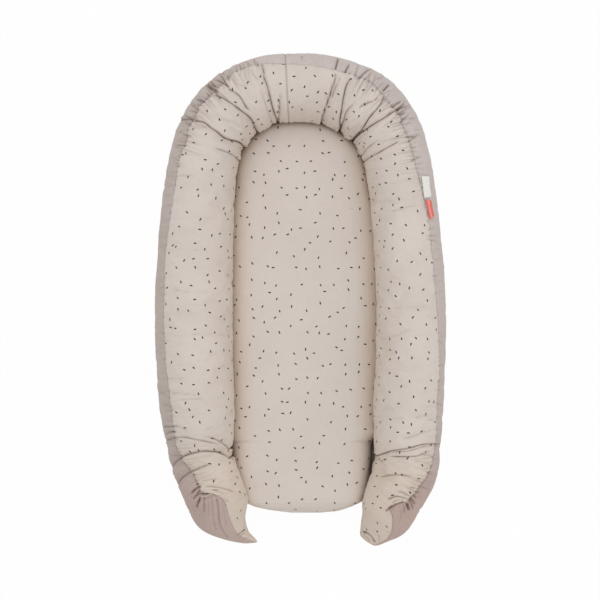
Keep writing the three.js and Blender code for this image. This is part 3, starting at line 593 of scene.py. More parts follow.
# Short pinched gathers across the seam, and faint long rays over the print. Ranges are in metres, or shares.
strokeLook = {
    "seed": 7,
    "margin": 4 * mm,
    "gap": 4.2 * mm,
    "gapRange": (0.45, 1.7),
    "levels": [0.35, 0.55, 0.8, 1.25],
    "chances": [0.35, 0.3, 0.22, 0.13],
    "deep": 2.2 * mm,
    "overBand": (8, 46),
    "overPrint": (3, 17),
    "wide": (0.55, 1.2),
    "slant": (-0.22, 0.22),
    "fewer": 0.6,
    "fewerRows": (6.6, 8, 25.8, 26.6),
    "rayGap": 3.6 * mm,
    "rayGapRange": (0.6, 1.6),
    "rayDeep": (0.12, 0.42),
    "rayBand": 6 * mm,
    "rayPrint": (18, 60),
    "rayWide": (0.7, 1.3),
    "raySlant": (-0.18, 0.18),
    "rayRows": (5.2, 6, 28, 29),
}


# 1 between two slopes, given as four places, and 0 outside them
def plateau(places, value):
    return smoothStep(*places[:2], value) * (1 - smoothStep(*places[2:], value))


# Each stroke: its place, depth, reach over the band and over the print, width and slant
def makeStrokes():
    look, strokes = strokeLook, []
    random = np.random.default_rng(look["seed"])
    s = look["margin"]
    while s < spine["length"] - look["margin"]:
        row, level = float(onSpine("row", s)), float(gatherLevel(s))
        s += look["gap"] * random.uniform(*look["gapRange"]) / max(level, 0.25) ** 0.8
        deep = level * random.choice(look["levels"], p=look["chances"])
        deep *= float(plateau((tipRows[0] - 0.5, tipRows[0], tipRows[1] - 0.7, tipRows[1] + 0.4), row))
        deep *= 1 - look["fewer"] * float(1 - plateau(look["fewerRows"], row))
        strokes.append((s, deep, random.uniform(*look["overBand"]) * mm * (0.5 + deep),
                        random.uniform(*look["overPrint"]) * mm * (0.4 + deep),
                        random.uniform(*look["wide"]) * mm, random.uniform(*look["slant"])))
    s = look["margin"]
    while s < spine["length"] - look["margin"]:
        level = float(gatherLevel(s) * plateau(look["rayRows"], onSpine("row", s)))
        s += look["rayGap"] * random.uniform(*look["rayGapRange"])
        deep = random.uniform(*look["rayDeep"]) * float(smoothStep(0.45, 0.95, level))
        strokes.append((s, deep, look["rayBand"], random.uniform(*look["rayPrint"]) * mm,
                        random.uniform(*look["rayWide"]) * mm, random.uniform(*look["raySlant"])))
    return sorted(strokes)


strokes = makeStrokes()


# Relief and painted shade of those gathers on a grid of places, by their distance from the seam
def pressStrokes(s, away, isBand):
    press, dark = np.zeros_like(s), np.zeros_like(s)
    for at, deep, overBand, overPrint, wide, slant in strokes:
        low, high = np.searchsorted(s[:, 0], [at - 12 * mm, at + 12 * mm])
        if high <= low:
            continue
        reach = overBand if isBand else overPrint
        far = away[low:high]
        off = s[low:high] - at - slant * (far if isBand else -far)
        fade = 1 - smoothStep(0.25 * reach, reach, far)
        spread = wide * (1 + 0.5 * far / reach)
        valley = np.exp(-np.abs(off) / spread) * 0.75 + np.exp(-(off / (2.6 * spread)) ** 2) * 0.35
        puff = np.exp(-((np.abs(off) - 3.1 * spread) / (1.6 * spread)) ** 2) * 0.3
        press[low:high] += strokeLook["deep"] * deep * fade * (puff - valley)
        # painted shade in the gather's valley
        dark[low:high] = np.maximum(dark[low:high], fade * min(1, deep) * np.exp(-(off / (0.9 * spread)) ** 2))
    return press, dark


# Puffs between the gathers. Each layer: share, bend, length along and round the tube, seed, sharpness.
ruche = {
    "lumps": 0.64 * mm,
    "bend": 1.6 * mm,
    "band": 1.4 * mm,
    "bandFine": [(0.45, 1, 0.0062, 0.05, 11, 3), (0.8, 1, 0.0105, 0.075, 12, 3)],
    "bandWide": [(1.1, 2, 0.021, 0.1, 13, 2)],
    "print": 0.6 * mm,
    "printSoft": [(1, 3, 0.027, 0.12, 21, 2), (0.7, 2, 0.0145, 0.07, 22, 3)],
    "atSeam": 1.15 * mm,
    "bandSeam": (1, 0.016, 0.0078),
    "printSeam": (0.75, 0.011, 0.0088),
    "seamDip": 1.1 * mm,
    "dipWide": 2.2 * mm,
    "fullness": 0.7 * mm,
    "bandShade": 0.05,
    "insideAngles": (186, 206, 228, 250),
    "limits": (-9 * mm, 3.2 * mm),
    "roundness": 0.06,
    "cornerShade": 0.6,
}


def layered(layers, s, around, bend):
    return sum(share * puffs((s + bend * bent) / along, around / across, seed, sharpness)
               for share, bent, along, across, seed, sharpness in layers)


# Everything that the cloth does above or below the smooth wall, and the painted shade in its folds and gathers
def clothShape(s, angle, fromOuter, fromInner, isBand):
    base, normal = wall(s, angle), wallNormal(s, angle)
    row, gathered = onSpine("row", s), gatherLevel(s)
    press, dark = pressFolds(base, normal)
    pinch, pinchDark = pressStrokes(s, fromOuter, isBand)
    fromSeam = np.minimum(fromOuter, fromInner)
    atTip = plateau((tipRows[0] - 1.3, tipRows[0] - 0.2, tipRows[1] + 0.2, tipRows[1] + 1.3), row)
    level = gathered * (0.12 + 0.88 * atTip)
    around = np.radians(angle) * ruche["roundness"]
    rise = ruche["lumps"] * (ripple(s / 0.085, around / 0.07, 3) + 0.5 * ripple(s / 0.04, around / 0.045, 5))
    bend = ripple(s / 0.03, around / 0.035, 9) * ruche["bend"]
    share, reach, seamPuffs = ruche["bandSeam" if isBand else "printSeam"]
    atSeam = np.exp(-fromSeam / reach)
    if isBand:
        finely = np.maximum(level, 0.5 * atTip) * (0.35 + 0.65 * atSeam)
        puffed = layered(ruche["bandFine"], s, around, bend) * finely
        puffed = puffed + layered(ruche["bandWide"], s, around, bend) * level
        rise = rise + ruche["band"] * puffed * (0.55 + 0.45 * np.exp(-fromSeam / 0.05)) + ruche["fullness"] * level
    else:
        rise = rise + ruche["print"] * (0.35 + 0.9 * level) * layered(ruche["printSoft"], s, around, bend)
    rise = rise + ruche["atSeam"] * share * level * atSeam * puffs((s + bend) / seamPuffs, fromSeam / 0.03, 17, 2.2)
    rise = rise - ruche["seamDip"] * np.exp(-(fromSeam / ruche["dipWide"]) ** 2)
    rise = np.where(rise > 0, rise * (1 - plateau(ruche["insideAngles"], angle)), rise)
    size = np.clip(np.minimum(onSpine("width", s), onSpine("height", s)) / 2 / 0.042, 0.05, 1)
    rise = np.clip((rise + press + pinch) * size, *ruche["limits"])
    # painted shade where folds press the cloth in deeper than it rises
    fine = np.clip((press * size - rise) / (4 * mm), 0, 1) * 0.3
    if isBand:
        # painted shade on the band where it is gathered
        fine = fine + ruche["bandShade"] * smoothStep(0.7, 1, gathered) * smoothStep(6, 8, row)
    else:  # painted shade in the corner between the right foot end and the pad
        corner = smoothStep(158, 196, angle) * smoothStep(-0.222, -0.238, base[..., 1]) * smoothStep(24, 25, row)
        fine = fine + ruche["cornerShade"] * corner
    return base, normal, rise, np.clip(np.maximum(dark, pinchDark) + fine, 0, 1)


# Places along the spine between two ends, closer together where the cloth is gathered
def stations(low, high):
    even = np.arange(low, high, 0.5 * mm)
    step = tube["plainStep"] + (tube["fineStep"] - tube["plainStep"]) * smoothStep(0.35, 0.6, gatherLevel(even))
    count = np.concatenate([[0], np.cumsum(0.5 * mm / step)])[:-1]
    return np.interp(np.linspace(0, count[-1], int(count[-1]) + 2), count, even)


# The quads of a grid of points, all facing out
def gridQuads(points, outside):
    rows, columns = points.shape[:2]
    index = np.arange(rows * columns).reshape(rows, columns)
    quads = np.stack([index[:-1, :-1], index[:-1, 1:], index[1:, 1:], index[1:, :-1]], axis=-1).reshape(-1, 4)
    flat, out = points.reshape(-1, 3), outside.reshape(-1, 3)
    turn = np.cross(flat[quads[:, 1]] - flat[quads[:, 0]], flat[quads[:, 3]] - flat[quads[:, 0]])
    return quads[:, ::-1] if (turn * out[quads[:, 0]]).sum() < 0 else quads


def addPiece(name, mesh):
    piece = bpy.data.objects.new(name, mesh)
    scene.collection.objects.link(piece)
    return piece


# Piece from a grid of points, with its pattern coordinates and values at the points
def gridPiece(name, points, uv, values, outside):
    quads, flat = gridQuads(points, outside), points.reshape(-1, 3)
    mesh = bpy.data.meshes.new(name)
    mesh.vertices.add(len(flat))
    mesh.vertices.foreach_set("co", flat.astype(np.float32).ravel())
    mesh.loops.add(quads.size)
    mesh.loops.foreach_set("vertex_index", quads.astype(np.int32).ravel())
    mesh.polygons.add(len(quads))
    mesh.polygons.foreach_set("loop_start", np.arange(0, quads.size, 4, dtype=np.int32))
    mesh.update(calc_edges=True)
    layer = mesh.uv_layers.new(name="pattern")
    layer.data.foreach_set("uv", uv.reshape(-1, 2)[quads.ravel()].astype(np.float32).ravel())
    for key, value in values.items():
        mesh.attributes.new(key, "FLOAT", "POINT").data.foreach_set("value", value.astype(np.float32).ravel())
    shape = bmesh.new()
    shape.from_mesh(mesh)
    bmesh.ops.remove_doubles(shape, verts=shape.verts, dist=2e-6)
    bmesh.ops.dissolve_degenerate(shape, edges=shape.edges, dist=1e-7)
    shape.to_mesh(mesh)
    shape.free()
    mesh.shade_smooth()
    return addPiece(name, mesh)


# Cloth simulation on a coarse copy of each panel: held at its seams, blown up a little and cut too
# long where it is gathered. Only the waves that it makes along the tube are kept.
simulation = {
    "frames": 22,
    "cell": 5 * mm,
    "panelWidth": 0.2,
    "rows": (4.2, 29.6),
    "quality": 5,
    "mass": 0.12,
    "damping": 2.0,
    "stiffness": 18,
    "shear": 6,
    "bending": 0.04,
    "pressure": 3.0,
    "slack": -0.012,
    "slackGathered": -0.075,
    "gatherWidth": 0.18,
    "gatherReach": 0.04,
    "start": 0.8 * mm,
    "cap": 3.2 * mm,
    "share": 0.85,
    "evenOver": 9,
    "fade": 0.02,
}


# Values of the rows of a grid at places between them, on a smooth curve
def smoothRows(grid, at):
    at = np.clip(at, 0, len(grid) - 1.001)
    first = at.astype(int)
    t = (at - first)[:, None]
    p0, p1, p2, p3 = (grid[np.clip(first + k, 0, len(grid) - 1)] for k in (-1, 0, 1, 2))
    return p1 + 0.5 * t * (p2 - p0 + t * (2 * p0 - 5 * p1 + 4 * p2 - p3 + t * (3 * (p1 - p2) + p3 - p0)))


# Runs the cloth on a grid of points, and gives how far each moves along its normal
def billow(name, points, normal, slack):
    rows, columns = points.shape[:2]
    flat = points.reshape(-1, 3)
    mesh = bpy.data.meshes.new(name)
    mesh.from_pydata(flat.tolist(), [], gridQuads(points, normal).tolist())
    sheet = addPiece(name, mesh)
    grip, gather = sheet.vertex_groups.new(name="grip"), sheet.vertex_groups.new(name="gather")
    edge = np.ones((rows, columns), bool)
    edge[1:-1, 1:-1] = False
    grip.add([int(k) for k in np.flatnonzero(edge)], 1.0, "REPLACE")
    for k, weight in enumerate(slack.ravel()):
        gather.add([k], float(weight), "REPLACE")
    modifier = sheet.modifiers.new("cloth", "CLOTH")
    cloth, look = modifier.settings, simulation
    cloth.quality, cloth.mass, cloth.air_damping = look["quality"], look["mass"], look["damping"]
    cloth.tension_stiffness = cloth.compression_stiffness = look["stiffness"]
    cloth.shear_stiffness, cloth.bending_stiffness = look["shear"], look["bending"]
    cloth.use_pressure, cloth.uniform_pressure_force = True, look["pressure"]
    cloth.vertex_group_mass, cloth.vertex_group_shrink = "grip", "gather"
    cloth.shrink_min, cloth.shrink_max = look["slack"], look["slackGathered"]
    cloth.effector_weights.gravity = 0
    modifier.collision_settings.use_collision = False
    modifier.point_cache.frame_start, modifier.point_cache.frame_end = 1, look["frames"]
    for number in range(1, look["frames"] + 1):
        scene.frame_set(number)
    settled = sheet.evaluated_get(bpy.context.evaluated_depsgraph_get()).to_mesh()
    moved = np.zeros(rows * columns * 3, np.float32)
    settled.vertices.foreach_get("co", moved)
    bpy.data.objects.remove(sheet)
    bpy.data.meshes.remove(mesh)
    scene.frame_set(1)
    return ((moved.reshape(-1, 3) - flat) * normal.reshape(-1, 3)).sum(1).reshape(rows, columns)


# Angle round the tube at a share v of a panel: the print goes from the outer seam up and in to the pad, the
# band from under the pad up to the outer seam
def panelAngle(s, v, isBand):
    seam, innerSeam = seamAngle(s), tube["innerSeam"]
    return innerSeam + (360 + seam - innerSeam) * v if isBand else seam + (innerSeam - seam) * v


def coverBillow(name, low, high, isBand, rowAt, columnAt):
    lowRow, highRow = (placeOfRow(row) for row in simulation["rows"])
    s1 = np.arange(max(low, lowRow), min(high, highRow), simulation["cell"])
    v1 = np.linspace(0, 1, int(simulation["panelWidth"] / simulation["cell"]))
    s, v = np.meshgrid(s1, v1, indexing="ij")
    angle = panelAngle(s, v, isBand)
    normal = wallNormal(s, angle)
    uneven = simulation["start"] * ripple(s / 0.02, np.radians(angle) * ruche["roundness"] / 0.045, 91)
    fromOuter = ((1 - v) if isBand else v) * simulation["gatherWidth"]
    fromInner = simulation["gatherWidth"] - fromOuter
    outer, inner = (np.exp(-gap / simulation["gatherReach"]) for gap in (fromOuter, fromInner))
    slack = np.clip(gatherLevel(s) * (0.25 + 0.75 * outer + 0.4 * inner), 0, 1)
    moved = billow(name + "_sheet", wall(s, angle) + normal * uneven[..., None], normal, slack)
    even = np.stack([softened(column, simulation["evenOver"]) for column in moved.T], axis=1)
    waves = np.clip(moved - even, -simulation["cap"], simulation["cap"]) * simulation["share"]
    print(name, "cloth settled, waves of", round(float(waves.std()) * 1000, 2), "mm")
    rows = np.interp(rowAt, s1, np.arange(len(s1)))
    fade = plateau((s1[0], s1[0] + simulation["fade"], s1[-1] - simulation["fade"], s1[-1]), rowAt)
    return smoothRows(smoothRows(waves, rows).T, columnAt * (len(v1) - 1)).T * fade[:, None]


# Cover panels: seam allowances folded in at the sides (rings on both sides of a panel) and at the back seam
# (rings at that end), tips that close in three rings, and painted tones. toneRows gives places for the band's painted
# light and shade.
panels = {
    "width": 0.2,
    "quickShare": 0.62,
    "closer": 0.42,
    "tuck": [3.2 * mm, 1.3 * mm],
    "backTuck": [1.3 * mm, 3.4 * mm],
    "fullRadius": 0.03,
    "backDip": 1.3 * mm,
    "backWide": 1.6 * mm,
    "backDark": 0.42,
    "floor": 0.3 * mm,
    "tipShares": [0.0, 0.55, 0.85],
    "toneRows": [0, 5.6, 8.4, 13, 14.9, 16.3, 17.8, 19, 20.5, 22, 24, 26, 28.4, 33],
    "tones": [0.85, 0.85, 0.5, 0.44, 0.42, 0.06, 0.02, 0, 0, 0.16, 0.36, 0.5, 0.95, 0.95],
}


# One panel of the cover: the printed top or the plain band, between two places on the spine
def coverPanel(name, low, high, isBand, tipEnd):
    s1 = stations(low, high)
    count = int(panels["width"] / tube["acrossStep"] * (1))
    v1 = np.linspace(0, 1, count)
    if isBand:  # closer together towards the outer seam, where the gathers show
        v1 = 1 - (1 - v1) * (1 - panels["closer"] * v1)
    tuck = np.array(panels["tuck"] + [0.0] * count + panels["tuck"][::-1])
    v1 = np.concatenate([[0, 0], v1, [1, 1]])
    sink = np.zeros(len(s1) + 2)
    if tipEnd == "low":
        s1, sink[-2:] = np.append(s1, [high, high]), panels["backTuck"]
    else:
        s1, sink[:2] = np.append([low, low], s1), panels["backTuck"][::-1]
    s, v = np.meshgrid(s1, v1, indexing="ij")
    angle = panelAngle(s, v, isBand)
    radius = (onSpine("width", s) + onSpine("height", s)) / 4
    fromOuter = np.radians(360 + seamAngle(s) - angle if isBand else angle - seamAngle(s)) * radius
    fromInner = np.radians(angle - tube["innerSeam"] if isBand else tube["innerSeam"] - angle) * radius
    base, normal, rise, dark = clothShape(s, angle, fromOuter, fromInner, isBand)
    rise = rise + coverBillow(name, low, high, isBand, s1, v1)
    rise = rise - tuck[None, :] * np.clip(radius / panels["fullRadius"], 0, 1) - sink[:, None]
    backSeam = np.exp(-((s - backPlace) / panels["backWide"]) ** 2)
    rise = rise - panels["backDip"] * backSeam
    # painted shade along the back seam's dip
    dark = np.maximum(dark, panels["backDark"] * backSeam * (0.6 + 0.4 * ripple(angle / 25, s * 0, 61)))
    points = base + normal * rise[..., None]
    points[..., 2] = np.maximum(points[..., 2], panels["floor"])
    middle = wall(s, np.full_like(s, 90.0), settled=False)
    middle[..., 2] -= onSpine("height", s) / 2
    fade, shares = np.ones(len(s1)), panels["tipShares"]
    if tipEnd == "low":
        fade[:3] = shares
    else:
        fade[-3:] = shares[::-1]
    points = middle + (points - middle) * fade[:, None, None]
    tip = 0 if tipEnd == "low" else -1
    points[tip] = points[tip].mean(0)
    stretch = np.linalg.norm(wall(s + 1 * mm, angle) - wall(s - 1 * mm, angle), axis=-1) / (2 * mm)
    ring = np.linalg.norm(np.diff(base, axis=1), axis=-1)
    run = np.concatenate([np.zeros((len(s1), 1)), np.cumsum(ring, axis=1)], axis=1)
    uv = np.stack([s, run - run[:, [len(v1) // 2]]], axis=-1)
    if isBand:  # painted tones by row: paler with painted light (0) over plain (0.5) to pinker painted shade (1)
        warmth = np.interp(onSpine("row", s), panels["toneRows"], panels["tones"])
    else:
        # painted shade tint on the print: on the inner side by the pad, and towards the foot ends
        warmth = np.clip(smoothStep(105, 195, angle) + 0.9 * smoothStep(-0.2, -0.3, base[..., 1]), 0, 1.6)
    values = {"stretch": np.clip(stretch, 0.2, 2), "crease": dark, "warmth": warmth}
    piece = gridPiece(name, points, uv, values, normal)
    print(name, len(piece.data.vertices), "points")
    return piece


backPlace, lastPlace = placeOfRow(tube["backSeamRow"]), spine["length"] - 1 * mm
covers = {
    "left_cover_print": coverPanel("left_cover_print", 0, backPlace, False, "low"),
    "right_cover_print": coverPanel("right_cover_print", backPlace, lastPlace, False, "high"),
    "left_cover_band": coverPanel("left_cover_band", 0, backPlace, True, "low"),
    "right_cover_band": coverPanel("right_cover_band", backPlace, lastPlace, True, "high"),
}

# Hidden layers of the tube: the lining sleeve and the stuffing in it, closed at both ends, and the draw
# cord in the outer seam with a knot at each foot gather. Depths are below the smooth wall.
inside = {
    "sleeveDepth": 9.6 * mm,
    "stuffingDepth": 11.2 * mm,
    "lumps": 0.4 * mm,
    "step": 6 * mm,
    "around": 40,
    "cordStep": 5 * mm,
    "cordDepth": 6.5 * mm,
    "cordRadius": 1.5 * mm,
    "cordSides": 8,
    "knotRows": (5.1, 29.1),
    "knotDepth": 8 * mm,
    "knotSize": 2.6 * mm,
    "knotRadius": 1.1 * mm,
}


def closedTube(name, s1, inset):
    s, angle = np.meshgrid(s1, np.linspace(0, 360, inside["around"] + 1), indexing="ij")
    radius = np.minimum(onSpine("width", s), onSpine("height", s)) / 2
    depth = np.minimum(inset, radius * 0.55)
    x, y = np.cos(np.radians(angle)), np.sin(np.radians(angle))
    normal = wallNormal(s, angle)
    uneven = inside["lumps"] * ripple(s / 0.03, x * 2 + 7, 41) * ripple(s / 0.05 + 3, y * 2, 43)
    points = wall(s, angle) - normal * (depth + uneven)[..., None]
    middle = points[:, :-1].mean(axis=1, keepdims=True)
    fade = np.array([0, 0.75] + [1.0] * (len(s1) - 4) + [0.75, 0])
    points = middle + (points - middle) * fade[:, None, None]
    points[:, -1] = points[:, 0]
    return gridPiece(name, points, np.stack([s, np.radians(angle) * 0.05], axis=-1), {}, normal)


# Round cord along a path, closed at both ends
def roundCord(name, path, radius):
    along = np.gradient(path, axis=0)
    along /= np.linalg.norm(along, axis=1, keepdims=True) + 1e-12
    side = np.cross(along, [0, 0, 1.0])
    side /= np.linalg.norm(side, axis=1, keepdims=True) + 1e-12
    up = np.cross(side, along)
    turn = np.linspace(0, 2 * math.pi, inside["cordSides"] + 1)[None, :, None]
    size = np.full(len(path), radius)
    size[0] = size[-1] = 0
    out = side[:, None] * np.cos(turn) + up[:, None] * np.sin(turn)
    points = path[:, None] + out * size[:, None, None]
    points[:, -1] = points[:, 0]
    run = np.concatenate([[0], np.cumsum(np.linalg.norm(np.diff(path, axis=0), axis=1))])
    uv = np.stack(np.broadcast_arrays(run[:, None], turn[..., 0] * radius), axis=-1)
    return gridPiece(name, points, uv, {}, out)


# Path of a simple knot
def knotPath(place, size):
    turn = np.linspace(0, 2 * math.pi, 60)
    x, y = np.sin(turn) + 2 * np.sin(2 * turn), np.cos(turn) - 2 * np.cos(2 * turn)
    return place + np.stack([x, y, -np.sin(3 * turn)], axis=1) * size / 3


hidden = {}
sleeveEnds = (6 * mm, backPlace - 2 * mm), (backPlace + 2 * mm, spine["length"] - 6 * mm)
for side, ends, knotRow in zip(("left", "right"), sleeveEnds, inside["knotRows"]):
    for layer, inset in (("lining", inside["sleeveDepth"]), ("fibre", inside["stuffingDepth"])):
        name = f"{side}_sleeve_{layer}"
        hidden[name] = closedTube(name, np.arange(*ends, inside["step"]), inset)
    knot = placeOfRow(knotRow)
    s = np.arange(*sorted((knot, backPlace)), inside["cordStep"])
    path = wall(s, seamAngle(s), inside["cordDepth"])
    hidden[f"{side}_draw_cord"] = roundCord(f"{side}_draw_cord", path, inside["cordRadius"])
    spot = wall(np.array(knot), np.array(float(seamAngle(knot))), inside["knotDepth"])
    path = knotPath(spot, inside["knotSize"])
    hidden[f"{side}_cord_knot"] = roundCord(f"{side}_cord_knot", path, inside["knotRadius"])
print("hidden layers made")

# Pad: its free foot rows by the pixels of their ends, then the spine rows that it is sewn to. It crowns over
# crownShare of the half width, and over headRows at the head. Layers: share, across, along and seed.
pad = {
    "rise": 10.8 * mm,
    "top": 48 * mm,
    "gap": 0.3 * mm,
    "crownShare": 0.36,
    "headRows": 3,
    "headEdgeShare": 0.02,
    "step": 2.2 * mm,
    "quickShare": 0.6,
    "lumps": 0.9 * mm,
    "lumpLayers": [(1, 0.11, 0.13, 31), (0.6, 0.05, 0.06, 32), (0.3, 0.022, 0.025, 33)],
    "footFullness": 1.0,
    "rimPuckers": 0.6 * mm,
    "creaseEnds": ((-0.109, 1), (0.1165, -1)),
    "creaseY": -0.2335,
    "creaseDeep": 1.3 * mm,
    "creaseDark": 0.16,
    "lineDark": 0.05,
    "headLineDark": 0.8,
    "darkReach": 5 * mm,
}
freeRowPixels = np.array([
    [[291, 512.6], [321, 512.6]],
    [[271, 509.4], [339, 510]],
    [[254, 505.4], [353, 505]],
    [[243.8, 500.5], [363, 499.8]],
    [[239.4, 493], [366.8, 492]],
    [[236.8, 481], [368.8, 481]],
    [[234.3, 467], [370.2, 467]],
    [[232.2, 454], [371.2, 454]],
    [[231, 444], [371.6, 444]],
])
freeRiseShares = [0, 0.5, 0.76, 0.9, 0.965, 0.99, 1, 1, 1]
sewnRows = [
    [8.5, 25.4], [9.1, 25], [10, 24], [10.5, 23.5], [11, 23], [11.5, 22.5], [12, 22], [12.55, 21.5], [13, 21],
    [13.6, 20.45], [14.1, 19.95], [14.6, 19.45], [15.1, 18.95], [15.6, 18.4], [16.1, 17.9], [16.6, 17.4],
]
freeCount = len(freeRowPixels)
padCount = freeCount + len(sewnRows)


# Both ends of every row of the base, at an angle of the tube beside it
def padEnds(angle, clearance):
    ends = np.zeros((padCount, 2, 3))
    ends[:freeCount] = fromPixels(freeRowPixels, pad["rise"])
    ends[:freeCount, 0, 0] += clearance
    ends[:freeCount, 1, 0] -= clearance
    for k, rows in enumerate(sewnRows):
        for end, row in enumerate(rows):
            ends[freeCount + k, end] = wall(np.array(placeOfRow(row)), np.array(float(angle)), -clearance)
    return ends


# A sheet between the two sides of the base: its points, rows and places across
def baseGrid(angle, clearance, low, high, step):
    rows = np.linspace(low, high, 40 * int(high - low + 1) + 1)
    table = padEnds(angle, clearance).reshape(padCount, 6)
    soft = np.stack([np.interp(rows, np.arange(padCount), table[:, c]) for c in range(6)], axis=1)
    soft = 0.5 * soft + 0.5 * throughRows(table, rows)
    middle = (soft[:, :3] + soft[:, 3:]) / 2
    run = np.concatenate([[0], np.cumsum(np.linalg.norm(np.diff(middle, axis=0), axis=1))])
    fineness = (1)
    along = np.linspace(0, 1, int(run[-1] / step * fineness) + 2)
    along = along - 0.6 * np.sin(2 * math.pi * along) / (2 * math.pi)  # closer at both ends
    k = np.interp(along * run[-1], run, rows)
    line = np.stack([np.interp(k, rows, soft[:, c]) for c in range(6)], axis=1)
    across = np.linspace(-1, 1, int(0.25 / step * fineness))
    across = np.clip(across + 0.5 * np.sin(math.pi * across) / math.pi, -1, 1)  # closer at both sides
    points = line[:, None, :3] + (line[:, 3:] - line[:, :3])[:, None] * ((across + 1) / 2)[None, :, None]
    return points, k, across


def gridNormal(points):
    normal = np.cross(np.gradient(points, axis=1), np.gradient(points, axis=0))
    normal /= np.linalg.norm(normal, axis=-1, keepdims=True) + 1e-12
    return np.where(normal[..., 2:].mean() < 0, -normal, normal)


# How far each point is from the inner side of the tube
def gapToTube(points):
    places, angles = np.arange(placeOfRow(8), placeOfRow(26), 2.5 * mm), np.arange(160, 209, 4.0)
    s, angle = np.meshgrid(places, angles, indexing="ij")
    sides = wall(s, angle).reshape(-1, 3)
    tree = kdtree.KDTree(len(sides))
    for k, place in enumerate(sides):
        tree.insert(place, k)
    tree.balance()
    return np.array([tree.find(place)[2] for place in points.reshape(-1, 3)]).reshape(points.shape[:2])


# Length along the cloth of a grid, each way from its middle, for a print that goes down its sides
def clothRun(points, axis, level):
    steps = np.hypot(np.diff(level, axis=axis), np.diff(points[..., 2], axis=axis))
    steps = np.concatenate([np.zeros_like(np.take(steps, [0], axis)), steps], axis)
    run = np.cumsum(steps, axis)
    middle = [points.shape[axis] // 2]
    return np.take(level, middle, axis) + run - np.take(run, middle, axis)


def makePadTop():
    points, k, across = baseGrid(tube["innerSeam"], pad["gap"], 0, padCount - 1, pad["step"])
    fromSide, fromFoot, fromHead = (1 - np.abs(across))[None, :], k[:, None], (padCount - 1 - k)[:, None]
    fullness = 2 + pad["footFullness"] * (1 - smoothStep(freeCount - 2, freeCount + 1, fromFoot))
    side = (1 - (1 - np.minimum(1, fromSide / pad["crownShare"])) ** fullness) ** (1 / fullness)
    head = np.sqrt(1 - (1 - np.minimum(1, fromHead / pad["headRows"] + pad["headEdgeShare"])) ** 2)
    foot = np.interp(fromFoot, np.arange(freeCount), freeRiseShares)
    points[..., 2] += (pad["top"] - points[..., 2]) * side * foot * head
    x, y = points[..., 0], points[..., 1]
    normal = gridNormal(points)
    lumps = sum(share * ripple(x / wide, y / long, seed) for share, wide, long, seed in pad["lumpLayers"])
    within = smoothStep(0, 1.6, fromFoot) * smoothStep(0.2, 2, fromHead) * (1 - (1 - fromSide) ** 6)
    rise, dark = pad["lumps"] * lumps * within, np.zeros_like(x)
    for edge, way in pad["creaseEnds"]:  # creases from the ends of the sewn sides
        run = (x - edge) * way
        off = y - pad["creaseY"] - 0.0025 * np.sin(run * 60)
        fade = plateau((-0.012, 0.002, 0.016, 0.05), run)
        rise -= pad["creaseDeep"] * np.exp(-np.abs(off) / (4 * mm)) * fade
        # painted shade in these creases
        dark = np.maximum(dark, pad["creaseDark"] * fade * np.exp(-(off / (2 * mm)) ** 2))
    # painted shade on the pad along the tube, strongest at the head, where the tube overhangs it
    line = pad["lineDark"] + pad["headLineDark"] * smoothStep(0.13, 0.2, y)
    nearTube = np.exp(-(gapToTube(points) / pad["darkReach"]) ** 1.5)
    dark = np.maximum(dark, line * smoothStep(-0.24, -0.2, y) * nearTube)
    rim = smoothStep(0, 0.35, fromFoot) * (1 - smoothStep(0, 2.4, fromFoot))
    rise += pad["rimPuckers"] * rim * puffs(x / 0.011, y / 0.03, 35, 2)
    points = points + normal * rise[..., None]
    # painted shade tint by the sides and the head, where the tube shades the pad
    warmth = np.maximum(1 - smoothStep(0, 0.42, fromSide), 1 - smoothStep(0.5, 3.5, fromHead))
    uv = np.stack([clothRun(points, 1, points[..., 0]), clothRun(points, 0, points[..., 1])], axis=-1)
    return gridPiece("pad_top", points, uv, {"stretch": np.ones_like(x), "crease": dark, "warmth": warmth}, normal)


# Plain cloth under the base, in two parts that meet at the zip, a little puckered. Each edge along the zip is
# moved to its place there, and easing is how far in that still shows. shade is the painted shade on the strips under
# the tube.
base = {
    "rise": 10.4 * mm,
    "cloth": 0.8 * mm,
    "step": 3.4 * mm,
    "gap": 0.4 * mm,
    "zipX": 0.0034,
    "zipY": -0.2339,
    "zipHalf": (0.093, 0.1015),
    "parting": 8.6 * mm,
    "easing": 30 * mm,
    "widen": 8 * mm,
    "sag": 0.9 * mm,
    "puckers": 0.7 * mm,
    "shade": 0.6,
}


